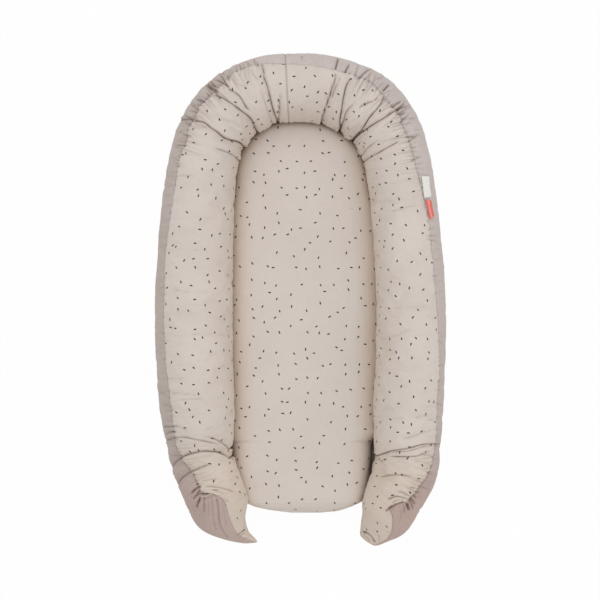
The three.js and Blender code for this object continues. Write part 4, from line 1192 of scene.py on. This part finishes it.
def makeBottom(name, low, high):
    points, k, across = baseGrid(tube["lowSeam"], base["gap"], low, high, base["step"])
    across, k = across[None, :], k[:, None]
    widen = base["widen"] * smoothStep(2.5, 4, k) * (1 - 0.4 * smoothStep(freeCount - 0.8, freeCount, k))
    points[..., 0] += across * widen
    parting = base["parting"] * (1 - smoothStep(*base["zipHalf"], np.abs(points[..., 0] - base["zipX"]))) + 0.1 * mm
    way, edge = (-1, points[-1, :, 1].max()) if name == "bottom_flap" else (1, points[0, :, 1].min())
    shift = base["zipY"] + way * parting - edge
    points[..., 1] += shift * np.exp(-np.abs(points[..., 1] - edge) / base["easing"])
    x, y = points[..., 0], points[..., 1]
    fromZip, fromSide = np.abs(y - base["zipY"]), 1 - np.abs(across)
    middle = 1 - across ** 2
    sag = base["sag"] * middle * smoothStep(0.012, 0.08, fromZip) * (0.6 + 0.5 * ripple(x / 0.08, y / 0.1, 51))
    pucker = puffs(x / 0.014, y / 0.06, 52, 2) * np.exp(-fromZip / 0.02)
    pucker = pucker + puffs(x / 0.05, y / 0.016, 53, 2) * np.exp(-fromSide * 0.12 / 0.02)
    pucker = base["puckers"] * (pucker + 0.5 * puffs(x / 0.06, y / 0.05, 54, 2))
    points[..., 2] = base["rise"] + (pucker * middle ** 0.2 - sag) * smoothStep(0, 1.5, k)
    outside = smoothStep(0.9, 0.97, np.abs(across)) * plateau((2.5, 4, freeCount, freeCount + 0.6), k)
    # painted shade in the pucker valleys and on the strips under the tube
    crease = np.maximum(np.clip(-pucker / (1.5 * mm), 0, 1) * 0.5, outside * base["shade"])
    values = {"stretch": np.ones_like(x), "crease": crease, "warmth": np.full_like(x, 0.5)}
    up = np.broadcast_to([0, 0, 1.0], points.shape)
    return thicken(gridPiece(name, points, np.stack([x, y], axis=-1), values, up), base["cloth"])


# Applies the modifiers of a piece to its mesh
def applied(piece):
    bpy.context.view_layer.update()
    made = bpy.data.meshes.new_from_object(piece.evaluated_get(bpy.context.evaluated_depsgraph_get()))
    made.name = piece.name
    piece.modifiers.clear()
    old, piece.data = piece.data, made
    bpy.data.meshes.remove(old)
    return piece


def thicken(piece, thickness):
    solid = piece.modifiers.new("cloth", "SOLIDIFY")
    solid.thickness, solid.offset = thickness, 0
    return applied(piece)


padTop = makePadTop()
bottomPanel = makeBottom("bottom_panel", freeCount - 1, padCount - 1)
bottomFlap = makeBottom("bottom_flap", 0, freeCount - 1)

# Labels: ribbons that stand in the outer seam and lie out over the band, a little curled, corners in pixels
labels = {
    "white_tab": {
        "corners": [(420.8, 176.5), (427.4, 176.8), (430, 196.8), (423.9, 197.2)],
        "curl": 1.6 * mm,
        "roundness": 0,
    },
    "coral_tab": {
        "corners": [(424.9, 199.6), (429.6, 200), (432.8, 217.6), (429, 219.4)],
        "curl": 1.8 * mm,
        "roundness": 0.32,
    },
}
tabCloth = {"lift": 1.6 * mm, "wave": 0.35 * mm, "clear": 0.5 * mm, "thickness": 0.55 * mm, "along": 24, "across": 14}


def makeTab(name):
    look = labels[name]
    s4, angle4 = findOnTube(look["corners"])
    u1, v1 = np.linspace(0, 1, tabCloth["along"]), np.linspace(0, 1, tabCloth["across"])
    u, v = np.meshgrid(u1, v1, indexing="ij")
    v = v * (1 - look["roundness"] * np.clip((np.abs(u - 0.5) * 2 - 0.72) / 0.28, 0, 1) ** 2)

    def spread(four):
        return (four[0] * (1 - u) + four[3] * u) * (1 - v) + (four[1] * (1 - u) + four[2] * u) * v

    s, angle = spread(s4), spread(angle4)
    lift = tabCloth["clear"] + tabCloth["lift"] * (0.35 + 0.65 * v) + tabCloth["wave"] * np.sin(7 * u + 2 * v)
    lift = lift + look["curl"] * v ** 2.5 * (0.55 + 0.45 * np.cos(3 * u + 0.6))
    normal = wallNormal(s, angle)
    points = wall(s, angle) + normal * lift[..., None]
    across = points[len(u1) // 2]
    size = np.linalg.norm(points[-1, 0] - points[0, 0]), np.linalg.norm(across[-1] - across[0])
    piece = gridPiece(name, points, np.stack([u * size[0], v * size[1]], axis=-1), {}, normal)
    print(name, "measures", [round(c * 1000, 1) for c in size], "mm")
    return thicken(piece, tabCloth["thickness"]), size


tabs = {name: makeTab(name) for name in labels}

# Care label under the base, hanging a little
careTab = {"below": 0.55 * mm, "hang": 1.6 * mm, "wave": 0.5 * mm, "thickness": 0.3 * mm, "along": 26, "across": 18}


def makeCareTab():
    low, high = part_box("care_label")
    width, length = high[0] - low[0], high[1] - low[1]
    u1, v1 = np.linspace(0, 1, careTab["along"]), np.linspace(0, 1, careTab["across"])
    u, v = np.meshgrid(u1, v1, indexing="ij")
    z = low[2] - careTab["below"] - careTab["hang"] * v ** 2 - careTab["wave"] * np.sin(4 * u + 1) * v
    points = np.stack([low[0] + u * width, high[1] - v * length, z], axis=-1)
    down = np.broadcast_to([0, 0, -1.0], points.shape)
    piece = gridPiece("care_tab", points, np.stack([u * width, v * length], axis=-1), {}, down)
    return thicken(piece, careTab["thickness"]), (width, length)


tabs["care_tab"] = makeCareTab()
print("pad, bottom cloth and labels made")


# Material maths: a value of a node tree that can be added, subtracted and multiplied
class Value:
    def __init__(self, builder, socket):
        self.builder, self.socket = builder, socket

    def __add__(self, other):
        return self.builder.maths("ADD", self, other)

    def __radd__(self, other):
        return self.builder.maths("ADD", other, self)

    def __sub__(self, other):
        return self.builder.maths("SUBTRACT", self, other)

    def __rsub__(self, other):
        return self.builder.maths("SUBTRACT", other, self)

    def __mul__(self, other):
        return self.builder.maths("MULTIPLY", self, other)

    def __rmul__(self, other):
        return self.builder.maths("MULTIPLY", other, self)


class Builder:
    def __init__(self, tree):
        self.tree = tree
        self.tree.nodes.clear()

    # any node: its settings first, then the values or links of its sockets
    def node(self, kind, settings=None, inputs=None):
        made = self.tree.nodes.new(kind)
        for key, value in (settings or {}).items():
            setattr(made, key, value)
        for key, value in (inputs or {}).items():
            if isinstance(value, Value):
                self.tree.links.new(value.socket, made.inputs[key])
            else:
                made.inputs[key].default_value = value
        return made

    def out(self, made, key=0):
        return Value(self, made.outputs[key])

    # the first output of any node
    def value(self, kind, settings=None, inputs=None):
        return self.out(self.node(kind, settings, inputs))

    def maths(self, operation, *parts):
        return self.value("ShaderNodeMath", {"operation": operation}, dict(enumerate(parts)))

    def vector(self, x, y, z=0.0):
        return self.value("ShaderNodeCombineXYZ", None, {0: x, 1: y, 2: z})

    def split(self, vector):
        parts = self.node("ShaderNodeSeparateXYZ", None, {0: vector})
        return self.out(parts, 0), self.out(parts, 1)


class Finish(Builder):
    def __init__(self, name, colour):
        self.material = bpy.data.materials.new(name)
        self.material.use_nodes = True
        self.material.diffuse_color = (*colour, 1)
        super().__init__(self.material.node_tree)

    def pattern(self):
        return self.value("ShaderNodeUVMap", {"uv_map": "pattern"})

    def place(self):
        return self.out(self.node("ShaderNodeTexCoord"), "Object")

    def between(self, value, low, high, first=0.0, last=1.0):
        return self.value("ShaderNodeMapRange", {"interpolation_type": "SMOOTHSTEP"},
                          {"Value": value, "From Min": low, "From Max": high, "To Min": first, "To Max": last})

    def blend(self, factor, first, second, kind="MIX"):
        made = self.node("ShaderNodeMix", {"data_type": "RGBA", "blend_type": kind}, {0: factor, 6: first, 7: second})
        return self.out(made, 2)

    def attribute(self, name):
        return self.out(self.node("ShaderNodeAttribute", {"attribute_name": name}), "Fac")

    def noise(self, place, scale, detail=2.0, roughness=0.5):
        return self.value("ShaderNodeTexNoise", {"noise_dimensions": "3D"},
                          {"Vector": place, "Scale": scale, "Detail": detail, "Roughness": roughness})

    def bump(self, height, distance, strength):
        return self.value("ShaderNodeBump", None, {"Height": height, "Distance": distance, "Strength": strength})

    def end(self, inputs):
        self.node("ShaderNodeOutputMaterial", None, {0: self.value("ShaderNodeBsdfPrincipled", None, inputs)})
        return self.material


def linear(red, green, blue):
    return tuple(c / 255 / 12.92 if c <= 10 else ((c / 255 + 0.055) / 1.055) ** 2.4 for c in (red, green, blue))


def paint(colour):
    return (*colour, 1)


# Colours and sizes of the cloths. The fold colour is painted shade, laid on deep in the folds by the share given for
# each cloth. A print cell holds one stroke, scattered in it, and inkShare of the cells have one.
cloths = {
    "print": linear(217, 207, 200),
    "printShade": linear(207, 195, 185),
    # painted shade tint of the print and pad
    "warm": linear(255, 250, 242),
    "ink": linear(22, 19, 18),
    "band": linear(194, 182, 176),
    "bandShade": linear(178, 163, 156),
    "bandPale": linear(206, 195, 190),
    "blush": linear(255, 241, 237),
    # painted shade colour deep in the folds
    "fold": linear(122, 93, 72),
    "foldShare": {"print": 0.84, "plain": 0.66},
    "slub": (90, 900),
    "cloud": 14,
    "thread": 0.45 * mm,
    "weave": 0.12 * mm,
    "cell": 22.4 * mm,
    "scatter": 0.78,
    "inkShare": 0.93,
    "strokeHalf": 1.22 * mm,
    "strokeRound": 1.04 * mm,
    "strokeSoft": 0.16 * mm,
    "strokeRough": 0.35 * mm,
}


# Woven cotton: threads, slubs and small changes of tone
def cottonBase(finish, light, shade):
    u, v = finish.split(finish.pattern())
    long, short = cloths["slub"]
    slubU = finish.noise(finish.vector(u * long, v * short), 1.0, 3.0)
    slubV = finish.noise(finish.vector(u * short, v * long), 1.0, 3.0)
    cloudy = finish.noise(finish.place(), cloths["cloud"], 3.0)
    tone = finish.between(slubU * 0.3 + slubV * 0.3 + cloudy * 0.4, 0.35, 0.68)
    colour = finish.blend(tone * 0.55, paint(light), paint(shade))
    turn = 2 * math.pi / cloths["thread"]
    weave = finish.maths("SINE", u * turn) * finish.maths("SINE", v * turn) * 0.5 + (slubU + slubV) * 0.8
    return colour, weave


# The cloth's colour gets a painted shade tint by its place, and painted shade deep in the folds
def cottonEnd(finish, colour, weave, foldShare, warmth, warm):
    colour = finish.blend(warmth, colour, paint(warm), "MULTIPLY")
    colour = finish.blend(finish.attribute("crease") * foldShare, colour, paint(cloths["fold"]), "MULTIPLY")
    return finish.end({"Base Color": colour, "Roughness": 0.92, "Specular IOR Level": 0.18, "Sheen Weight": 0.12,
                       "Sheen Roughness": 0.5, "Normal": finish.bump(weave, cloths["weave"], 0.55)})


# Sprinkle print: one short stroke with round ends in most cells of a scattered grid, turned at random. The
# stretch attribute keeps its length where the cloth is gathered.
def printedCotton(name):
    finish = Finish(name, cloths["print"])
    colour, weave = cottonBase(finish, cloths["print"], cloths["printShade"])
    uv = finish.pattern()
    u, v = finish.split(uv)
    cells = finish.node("ShaderNodeTexVoronoi", {"voronoi_dimensions": "2D", "feature": "F1"},
                        {"Vector": uv, "Scale": 1 / cloths["cell"], "Randomness": cloths["scatter"]})
    spotU, spotV = finish.split(finish.out(cells, "Position"))
    chance = finish.node("ShaderNodeSeparateColor", None, {0: finish.out(cells, "Color")})
    du, dv = (u - spotU) * finish.attribute("stretch"), v - spotV
    turn = finish.out(chance, 0) * math.pi
    cosine, sine = finish.maths("COSINE", turn), finish.maths("SINE", turn)
    long = finish.maths("ABSOLUTE", du * cosine + dv * sine)
    wide = dv * cosine - du * sine
    over = finish.maths("MAXIMUM", long - cloths["strokeHalf"] * (0.8 + 0.45 * finish.out(chance, 1)), 0.0)
    gap = finish.maths("SQRT", over * over + wide * wide) - cloths["strokeRound"]
    rough = (finish.noise(uv, 1600.0) - 0.5) * cloths["strokeRough"]
    mark = finish.between(gap + rough, -cloths["strokeSoft"], cloths["strokeSoft"], 1.0, 0.0)
    shown = finish.between(finish.out(chance, 2), cloths["inkShare"], cloths["inkShare"] + 0.005, 1.0, 0.0)
    colour = finish.blend(mark * shown * 0.96, colour, paint(cloths["ink"]))
    warmth = finish.attribute("warmth")
    return cottonEnd(finish, colour, weave, cloths["foldShare"]["print"], warmth, cloths["warm"])


def plainCotton(name):
    finish = Finish(name, cloths["band"])
    colour, weave = cottonBase(finish, cloths["band"], cloths["bandShade"])
    warmth = finish.attribute("warmth")
    # painted light makes the band paler where the tone is low, and pinker painted shade darkens it where high
    colour = finish.blend(finish.between(warmth, 0.0, 0.5, 1.0, 0.0), colour, paint(cloths["bandPale"]))
    warmth = finish.between(warmth, 0.5, 1.0)
    return cottonEnd(finish, colour, weave, cloths["foldShare"]["plain"], warmth, cloths["blush"])


# Ribbon of a label or a zip: fine ribs both ways, and a painted highlight along the middle where it has one
ribbonWeave = {"acrossRib": 0.7 * mm, "alongRib": 0.5 * mm, "relief": 0.1 * mm}


def ribbon(name, light, shade, paintedHighlight=None):
    finish = Finish(name, light)
    uv = finish.pattern()
    u, v = finish.split(uv)
    across = finish.maths("SINE", v * (2 * math.pi / ribbonWeave["acrossRib"]))
    ribs = across + 0.6 * finish.maths("SINE", u * (2 * math.pi / ribbonWeave["alongRib"]))
    colour = finish.blend(finish.between(finish.noise(uv, 220.0, 3.0), 0.3, 0.75) * 0.6, paint(light), paint(shade))
    if paintedHighlight:
        # painted highlight: paler along the middle, as on a folded ribbon loop
        away = finish.maths("ABSOLUTE", v - paintedHighlight["middle"])
        highlightMask = finish.between(away, paintedHighlight["half"] * 0.3, paintedHighlight["half"], 0.75, 0.0)
        colour = finish.blend(highlightMask, colour, paint(paintedHighlight["colour"]))
    return finish.end({"Base Color": colour, "Roughness": 0.55 if paintedHighlight else 0.7, "Sheen Weight": 0.1,
                       "Normal": finish.bump(ribs, ribbonWeave["relief"], 0.6)})


# Plain woven or felted stuff of the hidden layers
def stuff(name, light, shade, size, relief, roughness=0.95):
    finish = Finish(name, light)
    coarse = finish.noise(finish.place(), 1 / size, 4.0, 0.6)
    fine = finish.noise(finish.place(), 5 / size, 3.0, 0.6)
    colour = finish.blend(finish.between(coarse * 0.6 + fine * 0.4, 0.35, 0.68), paint(light), paint(shade))
    rough = finish.between(fine, 0.3, 0.7, roughness - 0.08, roughness)
    normal = finish.bump(coarse * 0.5 + fine, relief, 0.7)
    return finish.end({"Base Color": colour, "Roughness": rough, "Normal": normal})


# Moulded plastic of the zip
def moulded(name, light, shade):
    finish = Finish(name, light)
    grain, wear = finish.noise(finish.place(), 2500.0), finish.noise(finish.place(), 120.0, 3.0)
    colour = finish.blend(finish.between(wear, 0.4, 0.75) * 0.5, paint(light), paint(shade))
    rough = finish.between(wear, 0.3, 0.7, 0.38, 0.55)
    return finish.end({"Base Color": colour, "Roughness": rough, "Normal": finish.bump(grain, 0.05 * mm, 0.5)})


printed = printedCotton("printed_cotton_cloth")
banded, based = plainCotton("plain_cotton_cloth"), plainCotton("base_cotton_cloth")
lined = stuff("lining_cloth", linear(226, 220, 210), linear(208, 200, 188), 1.4 * mm, 0.15 * mm)
fibre = stuff("fibre_filling", linear(240, 239, 235), linear(220, 217, 210), 5 * mm, 1 * mm)
wadding = stuff("wadding_core", linear(238, 235, 228), linear(216, 211, 201), 8 * mm, 0.8 * mm)
corded = stuff("cord_braid", linear(222, 212, 200), linear(190, 178, 165), 1.1 * mm, 0.3 * mm)
whiteRibbon = ribbon("white_ribbon", linear(243, 241, 236), linear(226, 222, 214))
# the coral ribbon's pale middle is a painted highlight
coralRibbon = ribbon("coral_ribbon", linear(236, 108, 94), linear(222, 90, 78),
                     {"middle": 5 * mm, "half": 2.6 * mm, "colour": linear(248, 172, 160)})
tapeFinish = ribbon("zip_tape_weave", linear(205, 193, 184), linear(186, 172, 162))
threadFinish = stuff("sewing_thread", linear(224, 214, 205), linear(200, 188, 178), 0.5 * mm, 0.08 * mm, 0.7)
plastic = moulded("zip_plastic", linear(214, 205, 197), linear(190, 180, 171))
for name, piece in covers.items():
    piece.data.materials.append(printed if "print" in name else banded)
padTop.data.materials.append(printed)
for piece in (bottomPanel, bottomFlap):
    piece.data.materials.append(based)
for name, piece in hidden.items():
    piece.data.materials.append(lined if "lining" in name else fibre if "fibre" in name else corded)
for name, (piece, size) in tabs.items():
    piece.data.materials.append(coralRibbon if name == "coral_tab" else whiteRibbon)
for name, finish in (
    ("mattress_liner_top", lined),
    ("mattress_liner_bottom", lined),
    ("mattress_core", wadding),
    ("zip_stop_left", plastic),
    ("zip_stop_right", plastic),
):
    nodes[name].data.materials[0] = finish
print("cloths ready")


# A geometry tree that sets one small shape along a path, all in one material at its end
class Pattern(Builder):
    def __init__(self, name, sizes):
        super().__init__(bpy.data.node_groups.new(name, "GeometryNodeTree"))
        kinds = {"Path": "Geometry", "Pitch": "Float", **dict.fromkeys(sizes, "Float"), "Finish": "Material"}
        for key, kind in kinds.items():
            self.tree.interface.new_socket(name=key, in_out="INPUT", socket_type=f"NodeSocket{kind}")
        self.tree.interface.new_socket(name="Result", in_out="OUTPUT", socket_type="NodeSocketGeometry")
        self.given = self.node("NodeGroupInput")

    def size(self, name):
        return self.out(self.given, name)

    def moved(self, shape, **change):
        return self.value("GeometryNodeTransform", None, {"Geometry": shape, **change})

    def end(self, shape):
        curve = self.value("GeometryNodeMeshToCurve", None, {0: self.size("Path")})
        even = self.value("GeometryNodeResampleCurve", {"mode": "LENGTH"},
                          {"Curve": curve, "Length": self.size("Pitch")})
        along = self.value("GeometryNodeInputTangent")
        turn = self.value("FunctionNodeAlignRotationToVector", {"axis": "X"}, {"Vector": along})
        placed = self.value("GeometryNodeInstanceOnPoints", None,
                            {"Points": even, "Instance": shape, "Rotation": turn})
        real = self.value("GeometryNodeRealizeInstances", None, {0: placed})
        done = self.value("GeometryNodeSetMaterial", None, {"Geometry": real, "Material": self.size("Finish")})
        self.node("NodeGroupOutput", None, {0: done})


# A stitch: a short rounded thread that lies along the row
def makeStitchPattern():
    pattern = Pattern("stitch_row", ["Length", "Thickness"])
    ball = pattern.value("GeometryNodeMeshUVSphere", None, {"Segments": 8, "Rings": 5, "Radius": 1.0})
    half = pattern.size("Thickness") * 0.5
    pattern.end(pattern.moved(ball, Scale=pattern.vector(pattern.size("Length") * 0.5, half, half)))
    return pattern


# A zip tooth: a bar that grips the tape, with a round head towards the other tape
def makeToothPattern():
    pattern = Pattern("tooth_row", ["Width", "Reach", "Height"])
    width, reach, height = (pattern.size(name) for name in ("Width", "Reach", "Height"))
    bar = pattern.value("GeometryNodeMeshCube", None, {"Size": pattern.vector(width, reach, height)})
    bar = pattern.moved(bar, Translation=pattern.vector(0.0, reach * 0.1))
    head = pattern.value("GeometryNodeMeshCylinder", None,
                         {"Vertices": 10, "Radius": width * 0.72, "Depth": height * 0.86})
    head = pattern.moved(head, Translation=pattern.vector(0.0, reach * -0.36))
    both = pattern.node("GeometryNodeJoinGeometry")
    for part in (head, bar):
        pattern.tree.links.new(part.socket, both.inputs[0])
    pattern.end(pattern.out(both))
    return pattern


stitchPattern, toothPattern = makeStitchPattern(), makeToothPattern()


def alongPath(name, points, pattern, values):
    mesh = bpy.data.meshes.new(name)
    mesh.from_pydata(points, [(k, k + 1) for k in range(len(points) - 1)], [])
    piece = addPiece(name, mesh)
    modifier = piece.modifiers.new("pattern", "NODES")
    modifier.node_group = pattern.tree
    for item in pattern.tree.interface.items_tree:
        if item.name in values:
            modifier[item.identifier] = values[item.name]
    applied(piece)
    piece.data.shade_smooth()
    print(name, len(piece.data.polygons), "faces")
    return piece


# Zip under the base: two woven tapes sewn down with a double row, and moulded teeth that mesh
zipper = {
    "length": 204 * mm,
    "tapeWidth": 13 * mm,
    "tapeThickness": 0.8 * mm,
    "tapeZ": 9.25 * mm,
    "tapeWaves": 0.12 * mm,
    "tapeSteps": (160, 12),
    "edge": 2.4 * mm,
    "toothPitch": 3 * mm,
    "toothWidth": 1.25 * mm,
    "toothReach": 3.6 * mm,
    "toothHeight": 1.9 * mm,
    "toothZ": 8.1 * mm,
    "toothOff": 0.9 * mm,
    "toothInset": 4 * mm,
    "stitchPitch": 3.1 * mm,
    "stitchLength": 2.5 * mm,
    "stitchInset": 2 * mm,
    "stitchBelow": 0.08 * mm,
    "thread": 0.42 * mm,
    "rowInset": (2.2 * mm, 5 * mm),
    "careStitches": {"side": 1.5 * mm, "end": 1.4 * mm, "below": 0.78 * mm},
}
stitchValues = {
    "Pitch": zipper["stitchPitch"],
    "Length": zipper["stitchLength"],
    "Thickness": zipper["thread"],
    "Finish": threadFinish,
}
toothValues = {
    "Pitch": zipper["toothPitch"],
    "Width": zipper["toothWidth"],
    "Reach": zipper["toothReach"],
    "Height": zipper["toothHeight"],
    "Finish": plastic,
}


# Pieces by name, each with its slot and the solids that it stands for
def makeZip():
    made = {}

    def row(name, ends, y, z, pattern, values, slot):
        line = [(x, y, z) for x in ends]
        made[name] = (alongPath(name, line, pattern, values), slot, [])

    left, right = base["zipX"] - zipper["length"] / 2, base["zipX"] + zipper["length"] / 2
    below = zipper["tapeZ"] - zipper["tapeThickness"] / 2 - zipper["stitchBelow"]
    xSteps, tSteps = zipper["tapeSteps"]
    for end, way in (("head", 1), ("foot", -1)):
        x, t = np.meshgrid(np.linspace(left, right, xSteps), np.linspace(0, 1, tSteps), indexing="ij")
        y = base["zipY"] + way * (zipper["edge"] + zipper["tapeWidth"] * t)
        z = zipper["tapeZ"] + zipper["tapeWaves"] * ripple(x / 0.02, t * 2, 81) * smoothStep(0, 0.4, t)
        points = np.stack([x, y, z], axis=-1)
        down = np.broadcast_to([0, 0, -1.0], points.shape)
        tape = gridPiece(f"zip_{end}_tape", points, np.stack([x, y], axis=-1), {}, down)
        thicken(tape, zipper["tapeThickness"])
        tape.data.materials.append(tapeFinish)
        made[tape.name] = (tape, "zip_tape", [f"zip_tape_{end}"])
        ends = left + zipper["toothInset"], right - zipper["toothInset"]
        if way < 0:  # the other tape's teeth stand between, and face back
            ends = ends[1] - zipper["toothPitch"] / 2, ends[0] - zipper["toothPitch"] / 2
        y = base["zipY"] + way * zipper["toothOff"]
        row(f"zip_{end}_teeth", ends, y, zipper["toothZ"], toothPattern, toothValues, "zip_plastic")
        ends = left + zipper["stitchInset"], right - zipper["stitchInset"]
        for k, inset in enumerate(zipper["rowInset"]):
            y = base["zipY"] + way * (zipper["edge"] + zipper["tapeWidth"] - inset)
            row(f"zip_{end}_stitches_{k}", ends, y, below, stitchPattern, stitchValues, "cord")
    low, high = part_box("care_label")
    look = zipper["careStitches"]
    ends, y, z = (low[0] + look["side"], high[0] - look["side"]), high[1] - look["end"], low[2] - look["below"]
    row("care_tab_stitches", ends, y, z, stitchPattern, stitchValues, "cord")
    return made


zipPieces = makeZip()


# Slider and puller: the solids' own shapes with rounded edges
def roundedCopy(solid, name, radius):
    shape = bmesh.new()
    shape.from_mesh(nodes[solid].data)
    bmesh.ops.remove_doubles(shape, verts=shape.verts, dist=2e-6)
    bmesh.ops.dissolve_limit(shape, angle_limit=math.radians(3), verts=shape.verts, edges=shape.edges)
    bmesh.ops.recalc_face_normals(shape, faces=shape.faces)
    sharp = [edge for edge in shape.edges if len(edge.link_faces) == 2 and edge.calc_face_angle() > math.radians(30)]
    bmesh.ops.bevel(shape, geom=sharp, offset=radius, segments=2, profile=0.5, affect="EDGES", clamp_overlap=True)
    mesh = bpy.data.meshes.new(name)
    shape.to_mesh(mesh)
    shape.free()
    mesh.shade_smooth()
    mesh.materials.append(plastic)
    return addPiece(name, mesh)


runner = roundedCopy("zip_slider", "slider_body", 0.22 * mm)
pull = roundedCopy("zip_puller", "puller_tab", 0.3 * mm)
print("zip and stitches made")

# Stage: a white sweep with soft light from above. Under the nest, within half a width of middleX and between
# the foot and head places, the floor doesn't glow and has a brownish painted shade tone, so that narrow gaps
# show painted shade instead of looking blue. Elsewhere the camera sees it glow.
stage = {
    "floor": linear(236, 233, 229),
    "under": linear(238, 212, 184),
    "middleX": 0.006,
    "halfWidth": (0.117, 0.15),
    "footY": (-0.334, -0.308),
    "headY": (0.25, 0.27),
    "glow": 0.97,
    "world": 0.85,
    "floorHalf": 6,
    "lamps": {
        "key_light": {"power": 15.0, "size": 1.4, "place": (-0.7, 1.3, 2.1)},
        "fill_light": {"power": 11.0, "size": 1.8, "place": (1.5, -0.9, 1.7)},
    },
}


def makeFloor():
    finish = Finish("floor", stage["floor"])
    x, y = finish.split(finish.place())
    within = finish.between(finish.maths("ABSOLUTE", x - stage["middleX"]), *stage["halfWidth"], 1.0, 0.0)
    within = within * finish.between(y, *stage["footY"]) * finish.between(y, *stage["headY"], 1.0, 0.0)
    camera = finish.out(finish.node("ShaderNodeLightPath"), "Is Camera Ray")
    # painted shade: the floor under the nest is tinted brownish
    tone = finish.blend(within, paint(stage["floor"]), paint(stage["under"]))
    diffuse = finish.value("ShaderNodeBsdfDiffuse", None, {"Color": tone})
    glow = finish.value("ShaderNodeEmission", None, {"Color": paint((1, 1, 1)), "Strength": 1.0})
    share = camera * (1 - within) * stage["glow"]
    mixed = finish.value("ShaderNodeMixShader", None, {0: share, 1: diffuse, 2: glow})
    finish.node("ShaderNodeOutputMaterial", None, {0: mixed})
    mesh = bpy.data.meshes.new("floor")
    half = stage["floorHalf"]
    mesh.from_pydata([(-half, -half, 0), (half, -half, 0), (half, half, 0), (-half, half, 0)], [], [(0, 1, 2, 3)])
    mesh.materials.append(finish.material)
    addPiece("floor", mesh)


# Plain white where the camera or a mirror image sees it, soft light for everything else
def makeWorld():
    scene.world = bpy.data.worlds.new("studio")
    scene.world.use_nodes = True
    sky = Builder(scene.world.node_tree)
    path = sky.node("ShaderNodeLightPath")
    seen = sky.maths("MAXIMUM", sky.out(path, "Is Camera Ray"), sky.out(path, "Is Glossy Ray"))
    dome = sky.value("ShaderNodeBackground", None, {"Strength": stage["world"]})
    white = sky.value("ShaderNodeBackground", None, {"Color": paint((1, 1, 1)), "Strength": 1.0})
    mixed = sky.value("ShaderNodeMixShader", None, {0: seen, 1: dome, 2: white})
    sky.node("ShaderNodeOutputWorld", None, {0: mixed})


def makeLamps():
    for name, look in stage["lamps"].items():
        data = bpy.data.lights.new(name, "AREA")
        data.shape, data.size, data.energy = "SQUARE", look["size"], look["power"]
        lamp = bpy.data.objects.new(name, data)
        lamp.location = look["place"]
        lamp.rotation_euler = Vector(look["place"]).to_track_quat("Z", "Y").to_euler()
        scene.collection.objects.link(lamp)


makeFloor()
makeWorld()
makeLamps()
scene.view_settings.view_transform = "Standard"
print("stage ready")


def hang(piece, body, slot, *solids):
    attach(piece, body)
    if solids:
        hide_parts(*solids)


def bend(piece, foot, slot, *solids):
    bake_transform(piece)
    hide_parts(*solids)


for side in ("left", "right"):
    foot = f"{side}_foot"
    upper, band = covers[f"{side}_cover_print"], covers[f"{side}_cover_band"]
    bend(upper, foot, "printed_cotton", f"{side}_top_cover", f"{foot}_top_cover", f"{side}_tip_tuck")
    bend(band, foot, "plain_cotton", f"{side}_band", f"{foot}_band")
    bend(hidden[f"{side}_sleeve_lining"], foot, "lining", "main_sleeve", f"{foot}_sleeve")
    bend(hidden[f"{side}_sleeve_fibre"], foot, "fibre", "main_stuffing", f"{foot}_stuffing")
    bend(hidden[f"{side}_draw_cord"], foot, "cord", "main_cord", f"{foot}_cord")
    hang(hidden[f"{side}_cord_knot"], foot, "cord", f"{side}_knot")
hang(padTop, "nest", "printed_cotton", "base_top_panel")
hang(bottomPanel, "nest", "base_cotton", "base_bottom_panel")
hang(bottomFlap, "nest", "base_cotton", "base_foot_flap")
for name, solid, slot, below in (
    ("white_tab", "white_label", "white_label_cloth", "right_cover_band"),
    ("coral_tab", "coral_label", "coral_label_cloth", "right_cover_band"),
    ("care_tab", "care_label", "white_label_cloth", "bottom_panel"),
):
    piece, size = tabs[name]
    hang(piece, "nest", slot, solid)
for piece, slot, solids in zipPieces.values():
    hang(piece, "nest", slot, *solids)
hang(runner, "slider", "zip_plastic", "zip_slider")
hang(pull, "puller", "zip_plastic", "zip_puller")
print("pieces on their bodies")
